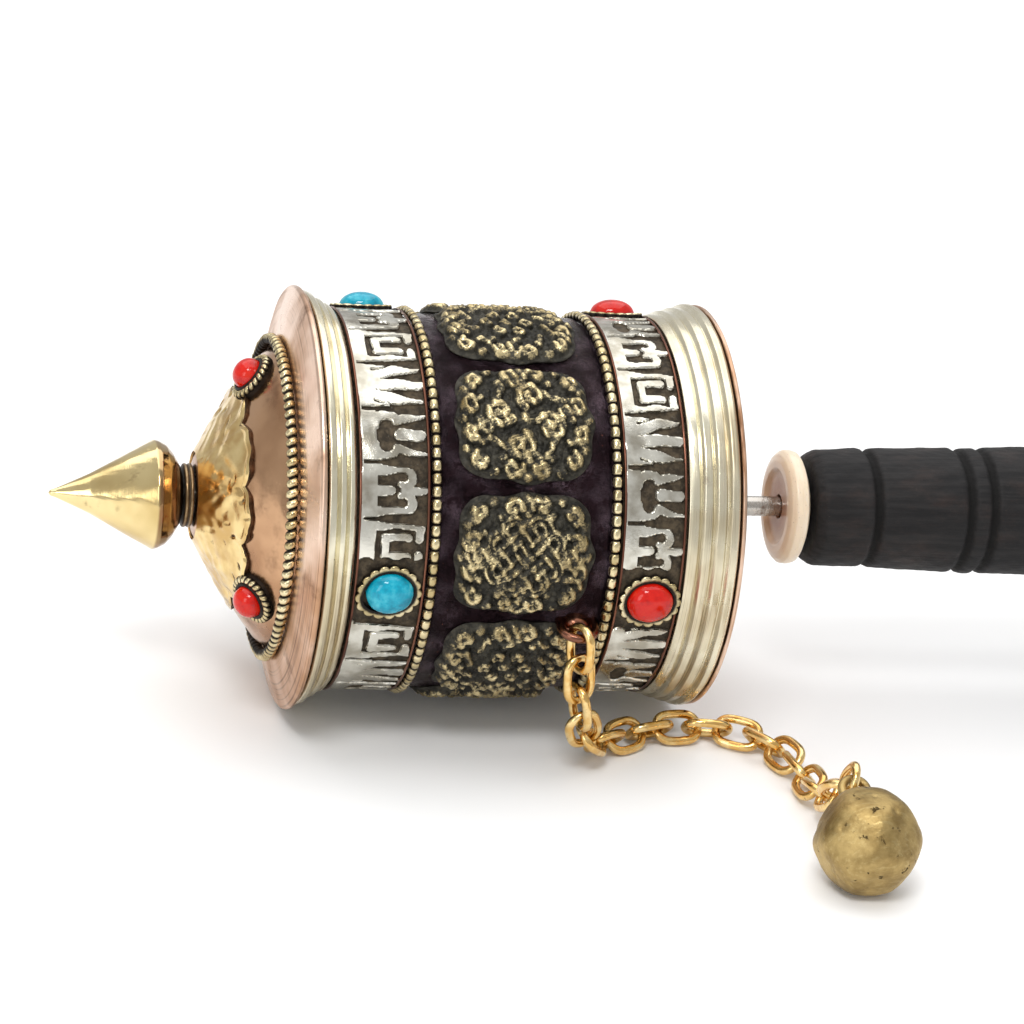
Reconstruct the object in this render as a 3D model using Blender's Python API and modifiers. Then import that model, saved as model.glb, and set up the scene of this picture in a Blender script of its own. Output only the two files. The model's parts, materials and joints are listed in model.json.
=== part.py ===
"""Hand-held prayer wheel, lying on its side: a lidded drum that spins on a steel axle above a
turned wooden handle, with a chain and weight that swing out from the drum.

Metres, +Z up.  The wheel's axis runs along X, the finial's tip towards -X and the handle towards +X.
Outlines of turned pieces are pairs (along, radius) in millimetres, "along" measured from the drum's
middle towards the handle.  The origin is under the middle of the whole object, on the surface it
lies on.
"""

from math import acos, cos, pi, radians, sin, sqrt

import bmesh
import bpy
from mathutils import Matrix, Quaternion, Vector

MM = 0.001
GAP = 0.3                      # left between pieces that touch

# Lengths along the axis, from the drum's middle
FINIAL_TIP = -69.0
HANDLE_BUTT = 177.0
# Radii
FLANGE_R = 33.0                # lid's brim, on which the wheel lies
BASE_R = 32.0
SHELL_R = 29.2
BAND_SEAT_R = 28.6
BAND_R = 29.7
INNER_R = 27.8
AXLE_R = 1.6
BORE_R = AXLE_R + GAP
DOME_R = 23.6
WASHER_R = 9.2
# Bands
BAND_EDGES = ((-26.2, -15.4), (14.3, 24.2))
BEAD_WIRE_R = 0.7
BEAD_PLACES = (-14.4, 13.3)
STONES_PER_BAND = 3
BAND_STONE = (3.6, 3.2, 2.8)   # half length, half width, height
TURQUOISE_ALONG, TURQUOISE_ANGLE = -20.7, 6.0
CORAL_ALONG, CORAL_ANGLE = 19.6, 8.0
DOME_STONE = (2.4, 2.4, 2.2)
DOME_STONE_RADIUS, DOME_STONE_ANGLE = 19.4, 30.0
# Medallions on the shell
MEDALLIONS = 9
MEDALLION_ANGLE = -6.0
MEDALLION_ALONG = -0.7
MEDALLION_HALF = (10.6, 9.3)   # along the axis, round the drum
MEDALLION_THICK = 1.4
# Chain and weight
LINKS = 19
LINK_WIRE = 1.6
LINK_WIDE = 4.3                # between wire centres
EYE_WIRE = 1.4
EYE_ANGLE = 15.5               # below the front of the drum
EYE_ALONG = 8.8
EYE_HALF = 2.6
EYE_REACH = 33.7
WEIGHT_MIDDLE = (46.0, -66.5)
WEIGHT_FACE_R = 7.5            # from its middle to the middle of a face
WEIGHT_REACH = 8.702           # from its middle to its foremost rounded edge
WEIGHT_EDGE = 1.3
LOOP_REACH = 3.4
CHAIN_FLOOR = 2.5              # height of the links' middles where they lie
TWISTS = [0] + [4.5] * 6 + [0] * 8 + [8] * 4    # degrees past a quarter turn, link by link

AXIS_HEIGHT = FLANGE_R
WEIGHT_FRONT = WEIGHT_MIDDLE[1] - WEIGHT_REACH
# From the drum's middle on the axis to the row's origin
SHIFT = Vector((-(FINIAL_TIP + HANDLE_BUTT) / 2, -(WEIGHT_FRONT + FLANGE_R) / 2, 0))
SEGMENTS = 36

COLOURS = {
    # name: colour, roughness, metallic
    "brass": ((0.78, 0.57, 0.22), 0.25, 1.0),
    "antique_brass": ((0.42, 0.33, 0.16), 0.5, 1.0),
    "copper": ((0.72, 0.42, 0.30), 0.3, 1.0),
    "dark_copper": ((0.16, 0.10, 0.12), 0.35, 1.0),
    "nickel_silver": ((0.70, 0.66, 0.52), 0.35, 1.0),
    "gilt_chain": ((0.80, 0.52, 0.16), 0.25, 1.0),
    "steel": ((0.55, 0.53, 0.50), 0.3, 1.0),
    "turquoise": ((0.05, 0.52, 0.62), 0.2, 0.0),
    "coral": ((0.70, 0.04, 0.02), 0.15, 0.0),
    "bone": ((0.86, 0.74, 0.58), 0.4, 0.0),
    "dark_wood": ((0.03, 0.02, 0.018), 0.5, 0.0),
    "paper": ((0.80, 0.72, 0.55), 0.8, 0.0),
}


def clear_scene():
    for obj in list(bpy.data.objects):
        bpy.data.objects.remove(obj, do_unlink=True)


def material(name, finish):
    made = bpy.data.materials.new(name)
    made.use_nodes = True
    shader = made.node_tree.nodes["Principled BSDF"]
    colour, roughness, metallic = COLOURS[finish]
    shader.inputs["Base Color"].default_value = (*colour, 1)
    shader.inputs["Roughness"].default_value = roughness
    shader.inputs["Metallic"].default_value = metallic
    return made


def place(along, y, z):
    """A point given from the drum's middle and the floor, in millimetres, as a point of the row in metres."""
    return (Vector((along, y, z)) + SHIFT) * MM


def spoke(degrees):
    """Unit vector from the axis, at an angle below the drum's front."""
    return Vector((0, -cos(radians(degrees)), -sin(radians(degrees))))


def on_drum(along, degrees, radius):
    return place(along, 0, AXIS_HEIGHT) + spoke(degrees) * radius * MM


def keep(obj, finish):
    """Puts the object in the part's collection with a material of its own."""
    for collection in list(obj.users_collection):
        collection.objects.unlink(obj)
    PARTS.objects.link(obj)
    made = material(obj.name, finish)
    if obj.data.users > 1:
        obj.material_slots[0].link = "OBJECT"
        obj.material_slots[0].material = made
    else:
        obj.data.materials.clear()
        obj.data.materials.append(made)
    return obj


def smooth(mesh, degrees=35):
    mesh.shade_smooth()
    mesh.set_sharp_from_angle(angle=radians(degrees))


def turned(name, finish, outline, closed=True, segments=SEGMENTS):
    """A piece turned about the wheel's axis.  The outline runs down its outer side from the handle's
    end to the finial's end, and back up its inner side if it is closed."""
    mesh = bpy.data.meshes.new(name)
    points = [(radius * MM, 0, along * MM) for along, radius in outline]
    count = len(points)
    edges = [(i, (i + 1) % count) for i in range(count if closed else count - 1)]
    mesh.from_pydata(points, edges, [])
    obj = bpy.data.objects.new(name, mesh)
    keep(obj, finish)
    screw = obj.modifiers.new("Turn", "SCREW")
    screw.axis = "Z"
    screw.steps = screw.render_steps = segments
    screw.use_merge_vertices = True
    screw.merge_threshold = 0.00001
    screw.use_smooth_shade = True
    obj.location = place(0, 0, AXIS_HEIGHT)
    obj.rotation_euler = (0, radians(90), 0)
    return obj


def tube(name, finish, points, wire, cyclic=False, resolution=1):
    """A round wire along points, which are in metres in the object's own space."""
    curve = bpy.data.curves.new(name, "CURVE")
    curve.dimensions = "3D"
    curve.bevel_depth = wire / 2 * MM
    curve.bevel_resolution = resolution
    curve.use_fill_caps = not cyclic
    spline = curve.splines.new("POLY")
    spline.points.add(len(points) - 1)
    for point, where in zip(spline.points, points):
        point.co = (*where, 1)
    spline.use_cyclic_u = cyclic
    return keep(bpy.data.objects.new(name, curve), finish)


def frame_at(origin, x_axis, z_axis):
    """Matrix of an object at origin with its own X and Z along the two directions."""
    x_axis, z_axis = x_axis.normalized(), z_axis.normalized()
    turn = Matrix((x_axis, z_axis.cross(x_axis), z_axis)).transposed().to_4x4()
    return Matrix.Translation(origin) @ turn


# ---- handle and axle ----------------------------------------------------------------------------

def handle():
    """Turned grip: nose, two shallow grooves, a swell, a waist, a knob and a flat butt."""
    nose, radius = 52.0, 10.6
    grooves = [66.0, 85.0, 90.0]
    outer = [(HANDLE_BUTT, 0.0), (HANDLE_BUTT, 7.0), (175.6, 9.6), (171.0, 11.6), (165.0, 11.9),
             (159.0, 10.6), (155.0, 8.9), (152.0, 8.6), (149.0, 9.2), (138.0, 10.6), (120.0, 11.2)]
    for groove in reversed(grooves):
        here = 9.3 + (radius - 9.3) * (groove - nose) / 40
        outer += [(groove + 0.9, here), (groove, here - 0.6), (groove - 0.9, here)]
    outer += [(nose + 1.5, 9.3), (nose, 8.3), (nose, BORE_R), (nose + 20, BORE_R), (nose + 20, 0.0)]
    turned("handle_grip", "dark_wood", outer, closed=False, segments=28)


def axle():
    ends = (FINIAL_TIP + 14.5, 71.0)
    turned("axle_rod", "steel", [(ends[1], 0.0), (ends[1], AXLE_R), (ends[0], AXLE_R), (ends[0], 0.0)],
           closed=False, segments=16)


def washer():
    """Stepped bone disc that carries the drum when the wheel is held upright."""
    turned("bone_washer", "bone", [(51.4, BORE_R), (51.4, 7.6), (50.3, WASHER_R - 0.3), (49.4, WASHER_R),
                                   (48.4, WASHER_R - 0.2), (47.4, 7.9), (47.4, 6.0), (48.0, 5.6),
                                   (48.0, BORE_R)], segments=24)


# ---- drum ---------------------------------------------------------------------------------------

def ring(name, finish, ends, outer, inner, segments=SEGMENTS):
    low, high = ends
    return turned(name, finish, [(high, inner), (high, outer), (low, outer), (low, inner)],
                  segments=segments)


def shell():
    """Drum wall, rebated at both ends for the bands and the beaded wires."""
    shoulders = (BEAD_PLACES[0] + BEAD_WIRE_R + GAP, BEAD_PLACES[1] - BEAD_WIRE_R - GAP)
    low, high = BAND_EDGES[0][0], BAND_EDGES[1][1]
    turned("drum_shell", "dark_copper", [(high, INNER_R), (high, BAND_SEAT_R), (shoulders[1], BAND_SEAT_R),
                                         (shoulders[1], SHELL_R), (shoulders[0], SHELL_R),
                                         (shoulders[0], BAND_SEAT_R), (low, BAND_SEAT_R), (low, INNER_R)])


def bands():
    for name, ends in zip(("upper_band", "lower_band"), BAND_EDGES):
        ring(name, "nickel_silver", ends, BAND_R, BAND_SEAT_R + GAP)


def bead_wires():
    middle = BAND_SEAT_R + GAP + BEAD_WIRE_R
    for name, along in zip(("upper_bead_wire", "lower_bead_wire"), BEAD_PLACES):
        section = [(along + BEAD_WIRE_R * cos(a), middle + BEAD_WIRE_R * sin(a))
                   for a in [i * pi / 3 for i in range(6)]]
        turned(name, "brass", section)


def base():
    """Ribbed foot moulding, the plate that closes the drum, and the small bush it turns on."""
    start, end = BAND_EDGES[1][1] + GAP, 32.0
    turned("base_moulding", "nickel_silver", [
        (end, BAND_SEAT_R), (end, BASE_R - 0.2), (30.6, BASE_R), (30.0, 31.3), (28.6, 31.3), (28.0, 30.7),
        (26.7, 30.8), (26.2, 30.2), (start, 29.9), (start, BAND_SEAT_R)])
    ring("base_plate", "copper", (end + GAP, end + 1.1), BASE_R, BORE_R)
    ring("base_bush", "bone", (end + 1.1 + GAP, end + 3.4), 2.7, BORE_R, segments=20)


def cabochon(name, finish, size, matrix):
    """Domed stone with a flat back: the upper half of a squashed ball."""
    half_long, half_wide, height = (value * MM for value in size)
    mesh = bpy.data.meshes.new(name)
    work = bmesh.new()
    bmesh.ops.create_uvsphere(work, u_segments=14, v_segments=8, radius=1)
    bmesh.ops.bisect_plane(work, geom=work.verts[:] + work.edges[:] + work.faces[:], dist=1e-5,
                           plane_co=(0, 0, 0), plane_no=(0, 0, 1), clear_inner=True)
    bmesh.ops.holes_fill(work, edges=[edge for edge in work.edges if edge.is_boundary])
    bmesh.ops.scale(work, vec=(half_long, half_wide, height), verts=work.verts)
    bmesh.ops.recalc_face_normals(work, faces=work.faces)
    work.to_mesh(mesh)
    work.free()
    smooth(mesh)
    obj = keep(bpy.data.objects.new(name, mesh), finish)
    obj.matrix_world = matrix


def band_stones():
    for kind, finish, along, first in (("turquoise_stone", "turquoise", TURQUOISE_ALONG, TURQUOISE_ANGLE),
                                       ("coral_stone", "coral", CORAL_ALONG, CORAL_ANGLE)):
        for i in range(STONES_PER_BAND):
            angle = first + 360 / STONES_PER_BAND * i
            seat = on_drum(along, angle, BAND_R + GAP)
            cabochon(f"{kind}_{i + 1}", finish, BAND_STONE, frame_at(seat, Vector((1, 0, 0)), spoke(angle)))


def plate_on_surface(name, finish, edge, surface, thick, rings=3, points=24):
    """A thin plate with a wavy edge, laid on a surface: rings of points between its middle and its
    edge(angle), each put in space by surface(u, v, height), for its lower and its upper face."""
    mesh = bpy.data.meshes.new(name)
    work = bmesh.new()
    faces = []
    for height in (0.0, thick):
        middle = [work.verts.new(surface(*edge(0, 0), height))]
        loops = [[work.verts.new(surface(*edge(2 * pi * i / points, ring / rings), height))
                  for i in range(points)] for ring in range(1, rings + 1)]
        faces.append((middle, loops))
    for (middle, loops), turn in zip(faces, (-1, 1)):
        for i in range(points):
            j = (i + 1) % points
            work.faces.new([middle[0], loops[0][i], loops[0][j]][::turn])
            for low, high in zip(loops, loops[1:]):
                work.faces.new([low[i], high[i], high[j], low[j]][::turn])
    for i in range(points):
        j = (i + 1) % points
        under, over = faces[0][1][-1], faces[1][1][-1]
        work.faces.new([under[i], under[j], over[j], over[i]])
    bmesh.ops.recalc_face_normals(work, faces=work.faces)
    work.to_mesh(mesh)
    work.free()
    smooth(mesh, 50)
    return keep(bpy.data.objects.new(name, mesh), finish)


def medallion_edge(angle, reach):
    """Rounded square with eight shallow lobes, as (along, round) in millimetres."""
    power = (abs(cos(angle)) ** 3.2 + abs(sin(angle)) ** 3.2) ** (-1 / 3.2)
    radius = reach * power * (0.97 + 0.03 * cos(8 * angle))
    return MEDALLION_HALF[0] * radius * cos(angle), MEDALLION_HALF[1] * radius * sin(angle)


def medallions():
    for i in range(MEDALLIONS):
        middle = MEDALLION_ANGLE + 360 / MEDALLIONS * i

        def curved(along, around, height):
            degrees = middle + around / SHELL_R * 180 / pi
            return on_drum(MEDALLION_ALONG + along, degrees, SHELL_R + GAP + height)

        plate_on_surface(f"medallion_{i + 1}", "antique_brass", medallion_edge, curved, MEDALLION_THICK,
                         rings=2, points=20)


def eye():
    """Wire staple in the shell that the chain's first link hangs from."""
    foot, bend = SHELL_R + GAP, EYE_REACH - EYE_HALF
    path = [(-EYE_HALF, foot)]
    path += [(-EYE_HALF * cos(a), bend + EYE_HALF * sin(a)) for a in [i * pi / 8 for i in range(9)]]
    path += [(EYE_HALF, foot)]
    middle = place(EYE_ALONG, 0, AXIS_HEIGHT)
    points = [Vector((along * MM, 0, 0)) + spoke(EYE_ANGLE) * radius * MM for along, radius in path]
    tube("chain_eye", "dark_copper", points, EYE_WIRE).location = middle


def filling():
    """The rolled prayer paper and the tube it is wound on."""
    ring("mantra_scroll", "paper", (-30.0, 31.6), INNER_R - GAP, 3.4, segments=32)
    ring("core_tube", "copper", (-32.6, 31.6), 3.0, BORE_R + 0.1, segments=20)


# ---- lid ----------------------------------------------------------------------------------------

DOME_OUTLINE = [(-34.6, DOME_R), (-36.4, 22.3), (-39.2, 18.6), (-42.3, 13.6), (-45.0, 8.9), (-46.8, 6.0)]


def dome_point(radius):
    """(along, slope of the outward normal) of the dome's outer side at a radius."""
    for (high, wide), (low, narrow) in zip(DOME_OUTLINE, DOME_OUTLINE[1:]):
        if narrow <= radius <= wide:
            share = (radius - narrow) / (wide - narrow)
            return low + share * (high - low), Vector((narrow - wide, high - low)).normalized()
    return DOME_OUTLINE[-1][0], Vector((-1, 0))


def on_dome(radius, degrees, height):
    along, normal = dome_point(radius)
    return on_drum(along + normal.x * height, degrees, radius + normal.y * height)


def lid():
    """Spun brim, ribbed moulding that fits over the drum, and the dome with its beaded rim."""
    turned("lid_plate", "copper", [(-31.4, 24.6), (-31.4, FLANGE_R - 0.3), (-31.8, FLANGE_R),
                                   (-32.3, FLANGE_R - 0.1), (-34.3, 25.4), (-34.3, 21.0), (-33.3, 21.0)])
    turned("lid_moulding", "nickel_silver", [
        (-26.5, BAND_SEAT_R), (-26.5, 29.8), (-27.4, 30.3), (-27.8, 30.2), (-28.3, 31.1), (-29.1, 31.3),
        (-29.5, 31.1), (-29.9, 31.9), (-30.6, 32.3), (-31.1, 32.3), (-31.1, BAND_SEAT_R)])
    outer = DOME_OUTLINE + [(-46.8, BORE_R)]
    inner = [(along + 0.8, max(radius - 0.8, BORE_R)) for along, radius in reversed(DOME_OUTLINE[1:])]
    turned("lid_dome", "copper", outer + [(-46.0, BORE_R)] + inner + [(-34.6, DOME_R - 1.0)])
    wire = 0.75
    turned("dome_rope_ring", "brass", [(-34.3 - GAP - wire + wire * cos(a), 24.7 + wire * sin(a))
                                       for a in [i * pi / 3 for i in range(6)]])


def lotus():
    """Thin scalloped petal plate round the dome's crown; it is a ring, pierced for the axle."""
    lobes, inner, outer, thick = 11, 7.0, 18.2, 0.45
    points, rings = 44, 3
    mesh = bpy.data.meshes.new("lotus_plate")
    work = bmesh.new()
    sheets = []
    for height in (GAP, GAP + thick):
        sheet = []
        for ring_number in range(rings + 1):
            share = ring_number / rings
            row = []
            for i in range(points):
                edge = outer * (0.94 + 0.06 * abs(cos(lobes * pi * i / points)))
                row.append(work.verts.new(on_dome(inner + (edge - inner) * share, 360 * i / points, height)))
            sheet.append(row)
        sheets.append(sheet)
    under, over = sheets
    strips = list(zip(over, over[1:])) + [(over[-1], under[-1])]
    strips += list(zip(under[::-1], under[-2::-1])) + [(under[0], over[0])]
    for first, second in strips:
        for i in range(points):
            j = (i + 1) % points
            work.faces.new([first[i], first[j], second[j], second[i]])
    bmesh.ops.recalc_face_normals(work, faces=work.faces)
    work.to_mesh(mesh)
    work.free()
    smooth(mesh, 50)
    keep(bpy.data.objects.new("lotus_plate", mesh), "brass")


def dome_stones():
    _, normal = dome_point(DOME_STONE_RADIUS)
    for i in range(3):
        angle = DOME_STONE_ANGLE + 120 * i
        out = Vector((normal.x, 0, 0)) + spoke(angle) * normal.y
        across = Vector((1, 0, 0)).cross(spoke(angle))
        seat = on_dome(DOME_STONE_RADIUS, angle, 1.2)
        cabochon(f"dome_coral_{i + 1}", "coral", DOME_STONE, frame_at(seat, across, out))


# ---- finial -------------------------------------------------------------------------------------

def finial():
    """Pointed brass nut on the axle's end, and the ringed collar between it and the dome."""
    depth = FINIAL_TIP + 14.0
    outline = [(depth, 0.0), (depth, BORE_R), (-48.8, BORE_R), (-48.8, 4.6), (-50.3, 6.3), (-51.6, 8.0),
               (-52.4, 8.5), (-53.2, 8.4), (-67.9, 0.7), (FINIAL_TIP, 0.3), (FINIAL_TIP, 0.0)]
    turned("finial_spike", "brass", outline, closed=False, segments=32)
    turned("finial_collar", "antique_brass", [(-47.1, BORE_R), (-47.1, 4.9), (-47.5, 5.0), (-47.7, 4.6),
                                              (-48.0, 5.0), (-48.5, 4.8), (-48.5, BORE_R)], segments=32)


# ---- chain and weight ---------------------------------------------------------------------------

def weight_directions():
    """Unit vectors from the weight's middle to the middles of its faces, one of them straight down
    and another towards the chain and upwards."""
    tilt = acos(1 / sqrt(5))
    found = [Vector((0, 0, -1)), Vector((0, 0, 1))]
    for i in range(5):
        turn = radians(72 * i)
        up = Vector((sin(turn) * sin(tilt), cos(turn) * sin(tilt), cos(tilt)))
        found += [up, -up]
    return found


WEIGHT_OUT = Vector((0, sin(acos(1 / sqrt(5))), 1 / sqrt(5)))
WEIGHT_CENTRE = Vector((*WEIGHT_MIDDLE, WEIGHT_FACE_R))
EYE_TOP = Vector((EYE_ALONG, 0, AXIS_HEIGHT)) + spoke(EYE_ANGLE) * EYE_REACH
LOOP_TOP = WEIGHT_CENTRE + WEIGHT_OUT * (WEIGHT_FACE_R + GAP + LOOP_REACH)
# The way the chain lies, from the eye down to the floor, past the drum's foot and out to the weight
HANG = (EYE_WIRE + GAP) / 2        # from a loop's wire to the first or last joint of the chain
CHAIN_ROUTE = [
    EYE_TOP + Vector((0, 0, HANG)), Vector((9.2, -32.4, 17.4)), Vector((10.0, -32.2, 12.0)), Vector((11.6, -30.3, 7.2)),
    Vector((14.4, -26.8, 4.0)), Vector((18.4, -23.0, CHAIN_FLOOR)), Vector((24.0, -19.8, CHAIN_FLOOR)),
    Vector((31.0, -18.4, CHAIN_FLOOR)), Vector((37.4, -19.2, CHAIN_FLOOR)),
    Vector((42.4, -22.6, CHAIN_FLOOR)), Vector((45.2, -28.2, CHAIN_FLOOR)),
    Vector((46.2, -35.0, CHAIN_FLOOR)), Vector((46.2, -42.0, 3.2)), Vector((46.0, -48.0, 5.4)),
    Vector((46.0, -52.8, 8.9)), LOOP_TOP + Vector((0, -0.75, 0.66)) * HANG]


def smooth_route(points, steps=40):
    """Dense points on a Catmull-Rom curve through the route's points."""
    ends = [2 * points[0] - points[1]] + points + [2 * points[-1] - points[-2]]
    dense = []
    for a, b, c, d in zip(ends, ends[1:], ends[2:], ends[3:]):
        for i in range(steps):
            t = i / steps
            dense.append(0.5 * (2 * b + (c - a) * t + (2 * a - 5 * b + 4 * c - d) * t * t
                                + (3 * b - a - 3 * c + d) * t ** 3))
    return dense + [points[-1]]


def joints_along(points, count):
    """count + 1 points at equal steps along the curve."""
    lengths = [0.0]
    for a, b in zip(points, points[1:]):
        lengths.append(lengths[-1] + (b - a).length)
    found = []
    for i in range(count + 1):
        want = lengths[-1] * i / count
        at = next((n for n, length in enumerate(lengths) if length >= want - 1e-9), len(points) - 1)
        found.append(points[at])
    return found


def link_frames():
    """For each link its start, direction and the normal of its plane.  Each link's plane is turned
    a quarter from the last one's, carried along the chain without twist."""
    joints = joints_along(smooth_route(CHAIN_ROUTE), LINKS)
    frames = []
    direction = (joints[1] - joints[0]).normalized()
    normal = Vector((-1, -0.5, 0))
    normal = (normal - direction * normal.dot(direction)).normalized()
    for i, (start, end) in enumerate(zip(joints, joints[1:])):
        ahead = (end - start).normalized()
        carried = direction.rotation_difference(ahead) @ normal
        carried.rotate(Quaternion(ahead, radians(TWISTS[i])))
        frames.append((start, end, ahead, carried))
        direction, normal = ahead, ahead.cross(carried)
    return frames


def oval(pitch):
    """Middle line of a link's wire: two half rings and two straight sides, its start at zero."""
    half_wide = LINK_WIDE / 2
    reach = (LINK_WIRE + GAP) / 2
    near, far = half_wide - reach, pitch + reach - half_wide
    arc = [-pi / 2 + i * pi / 6 for i in range(7)]
    points = [(far + half_wide * cos(a), half_wide * sin(a), 0) for a in arc]
    points += [(near - half_wide * cos(a), -half_wide * sin(a), 0) for a in arc]
    return [Vector(point) * MM for point in points]


def chain():
    frames = link_frames()
    pitch = sum((end - start).length for start, end, _, _ in frames) / LINKS
    shared = None
    for i, (start, end, ahead, normal) in enumerate(frames):
        name = f"chain_link_{i + 1:02d}"
        if shared is None:
            obj = tube(name, "gilt_chain", oval(pitch), LINK_WIRE, cyclic=True)
            shared = obj.data
        else:
            obj = keep(bpy.data.objects.new(name, shared), "gilt_chain")
        spare = ((end - start).length - pitch) / 2
        obj.matrix_world = frame_at(place(*(start + ahead * spare)), ahead, normal)


def weight():
    """Twelve-sided cast weight, its corners rounded, and the wire loop that the last link holds."""
    mesh = bpy.data.meshes.new("weight_ball")
    work = bmesh.new()
    bmesh.ops.create_cube(work, size=4 * WEIGHT_FACE_R * MM)
    for out in weight_directions():
        cut = bmesh.ops.bisect_plane(work, geom=work.verts[:] + work.edges[:] + work.faces[:], dist=1e-7,
                                     plane_co=out * WEIGHT_FACE_R * MM, plane_no=out, clear_outer=True)
        bmesh.ops.contextual_create(work, geom=[e for e in cut["geom_cut"]
                                                if isinstance(e, bmesh.types.BMEdge)])
    bmesh.ops.recalc_face_normals(work, faces=work.faces)
    work.to_mesh(mesh)
    work.free()
    obj = keep(bpy.data.objects.new("weight_ball", mesh), "antique_brass")
    obj.location = place(*WEIGHT_CENTRE)
    edges = obj.modifiers.new("Edges", "BEVEL")
    edges.width = WEIGHT_EDGE * MM
    edges.segments = 2
    edges.limit_method = "ANGLE"
    half = 1.9
    foot, bend = WEIGHT_FACE_R + GAP, WEIGHT_FACE_R + GAP + LOOP_REACH - half
    path = [(-half, foot)] + [(-half * cos(a), bend + half * sin(a)) for a in [i * pi / 6 for i in range(7)]]
    path += [(half, foot)]
    points = [(Vector((across, 0, 0)) + WEIGHT_OUT * out) * MM for across, out in path]
    tube("weight_loop", "antique_brass", points, EYE_WIRE).location = place(*WEIGHT_CENTRE)


clear_scene()
PARTS = bpy.data.collections.new("prayer_wheel")
bpy.context.scene.collection.children.link(PARTS)
handle()
axle()
washer()
shell()
bands()
bead_wires()
base()
band_stones()
medallions()
eye()
filling()
lid()
lotus()
dome_stones()
finial()
chain()
weight()
bpy.context.view_layer.update()
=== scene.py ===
import json
from math import acos, pi, radians, sqrt, tau

import bmesh
import bpy
import numpy as np
from mathutils import Matrix, Vector
from numpy import cos, sin


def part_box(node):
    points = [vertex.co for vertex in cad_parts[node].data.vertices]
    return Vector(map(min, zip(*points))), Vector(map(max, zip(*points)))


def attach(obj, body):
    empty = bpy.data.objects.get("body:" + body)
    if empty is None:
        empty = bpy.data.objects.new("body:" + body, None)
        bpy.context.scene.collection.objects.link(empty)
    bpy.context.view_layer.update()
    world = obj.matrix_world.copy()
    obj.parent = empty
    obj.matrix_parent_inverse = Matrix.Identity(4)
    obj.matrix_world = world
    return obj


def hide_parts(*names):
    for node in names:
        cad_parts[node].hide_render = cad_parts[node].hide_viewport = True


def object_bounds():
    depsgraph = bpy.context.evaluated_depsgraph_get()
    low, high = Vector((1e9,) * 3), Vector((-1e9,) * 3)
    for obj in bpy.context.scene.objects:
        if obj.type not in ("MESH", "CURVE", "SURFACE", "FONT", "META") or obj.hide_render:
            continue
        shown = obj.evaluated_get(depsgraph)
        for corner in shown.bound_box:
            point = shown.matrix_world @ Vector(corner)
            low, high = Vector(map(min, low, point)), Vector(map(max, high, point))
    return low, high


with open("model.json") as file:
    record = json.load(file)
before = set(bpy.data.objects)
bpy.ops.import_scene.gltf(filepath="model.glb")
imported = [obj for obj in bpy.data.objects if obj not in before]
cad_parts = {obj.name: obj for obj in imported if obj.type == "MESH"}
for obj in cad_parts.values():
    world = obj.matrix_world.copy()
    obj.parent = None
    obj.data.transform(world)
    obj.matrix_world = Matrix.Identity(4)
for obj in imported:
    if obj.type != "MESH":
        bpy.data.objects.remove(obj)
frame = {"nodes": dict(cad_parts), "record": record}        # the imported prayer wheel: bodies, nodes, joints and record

CAD_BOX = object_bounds()
MM = 0.001


def cad_box(node):
    """Lowest and highest corner of a CAD node as numpy arrays, in metres."""
    low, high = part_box(node)
    return np.array(low), np.array(high)


def cad_middle(node):
    low, high = cad_box(node)
    return (low + high) / 2


# The wheel's axis, and the drum's middle on it.  Lengths "along" are in millimetres from that
# middle towards the handle, angles are in radians below the drum's front, radii in millimetres.
AXIS = cad_middle("axle_rod")
TIP_ALONG = -69.0
DRUM_X = cad_box("finial_spike")[0][0] - TIP_ALONG * MM


def along_of(x):
    return (x - DRUM_X) / MM


def ends_of(node):
    low, high = cad_box(node)
    return along_of(low[0]), along_of(high[0])


def radius_of(node):
    low, high = cad_box(node)
    return (high[2] - low[2]) / 2 / MM


def wheel(along, angle, radius):
    """Points in space from wheel coordinates: x = middle + along, and the radius turned from the
    front (-Y) downwards by the angle."""
    along, angle, radius = np.broadcast_arrays(along, angle, radius)
    return np.stack([DRUM_X + along * MM, AXIS[1] - radius * MM * cos(angle),
                     AXIS[2] - radius * MM * sin(angle)], -1)


def angle_of(node):
    """Angle below the front at which a CAD node's middle lies."""
    middle = cad_middle(node)
    return np.arctan2(AXIS[2] - middle[2], AXIS[1] - middle[1])


def seat_of(node):
    """Wheel coordinates of a CAD node's middle: its length along and its angle."""
    return sum(ends_of(node)) / 2, angle_of(node)


def turns(count):
    """The angles of one full turn in equal steps, as a row."""
    return np.linspace(0, tau, count, endpoint=False)[None]


def unit(vectors):
    return vectors / np.linalg.norm(vectors, axis=-1, keepdims=True)


# ---- shader writing ----

def math_operator(operation, swapped=False):
    """A method that adds a Math node, with the two sides swapped if asked."""
    def method(self, other):
        return self.maths(operation, other, self) if swapped else self.maths(operation, self, other)
    return method


class Value:
    """A socket that adds Math nodes as it is used in an expression."""

    def __init__(self, finish, socket):
        self.finish, self.socket = finish, socket

    def maths(self, operation, *values):
        node = self.finish.node("ShaderNodeMath", {"operation": operation}, dict(enumerate(values)))
        return Value(self.finish, node.outputs[0])

    __add__ = __radd__ = math_operator("ADD")
    __sub__ = math_operator("SUBTRACT")
    __rsub__ = math_operator("SUBTRACT", swapped=True)
    __mul__ = __rmul__ = math_operator("MULTIPLY")
    __truediv__ = math_operator("DIVIDE")
    __pow__ = math_operator("POWER")
    most = math_operator("MAXIMUM")

    def rise(self, low, high):
        """0 below low, 1 above high, and a smooth step between."""
        node = self.finish.node("ShaderNodeMapRange", {"interpolation_type": "SMOOTHSTEP"},
                                {"Value": self, "From Min": low, "From Max": high})
        return Value(self.finish, node.outputs[0])


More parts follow.
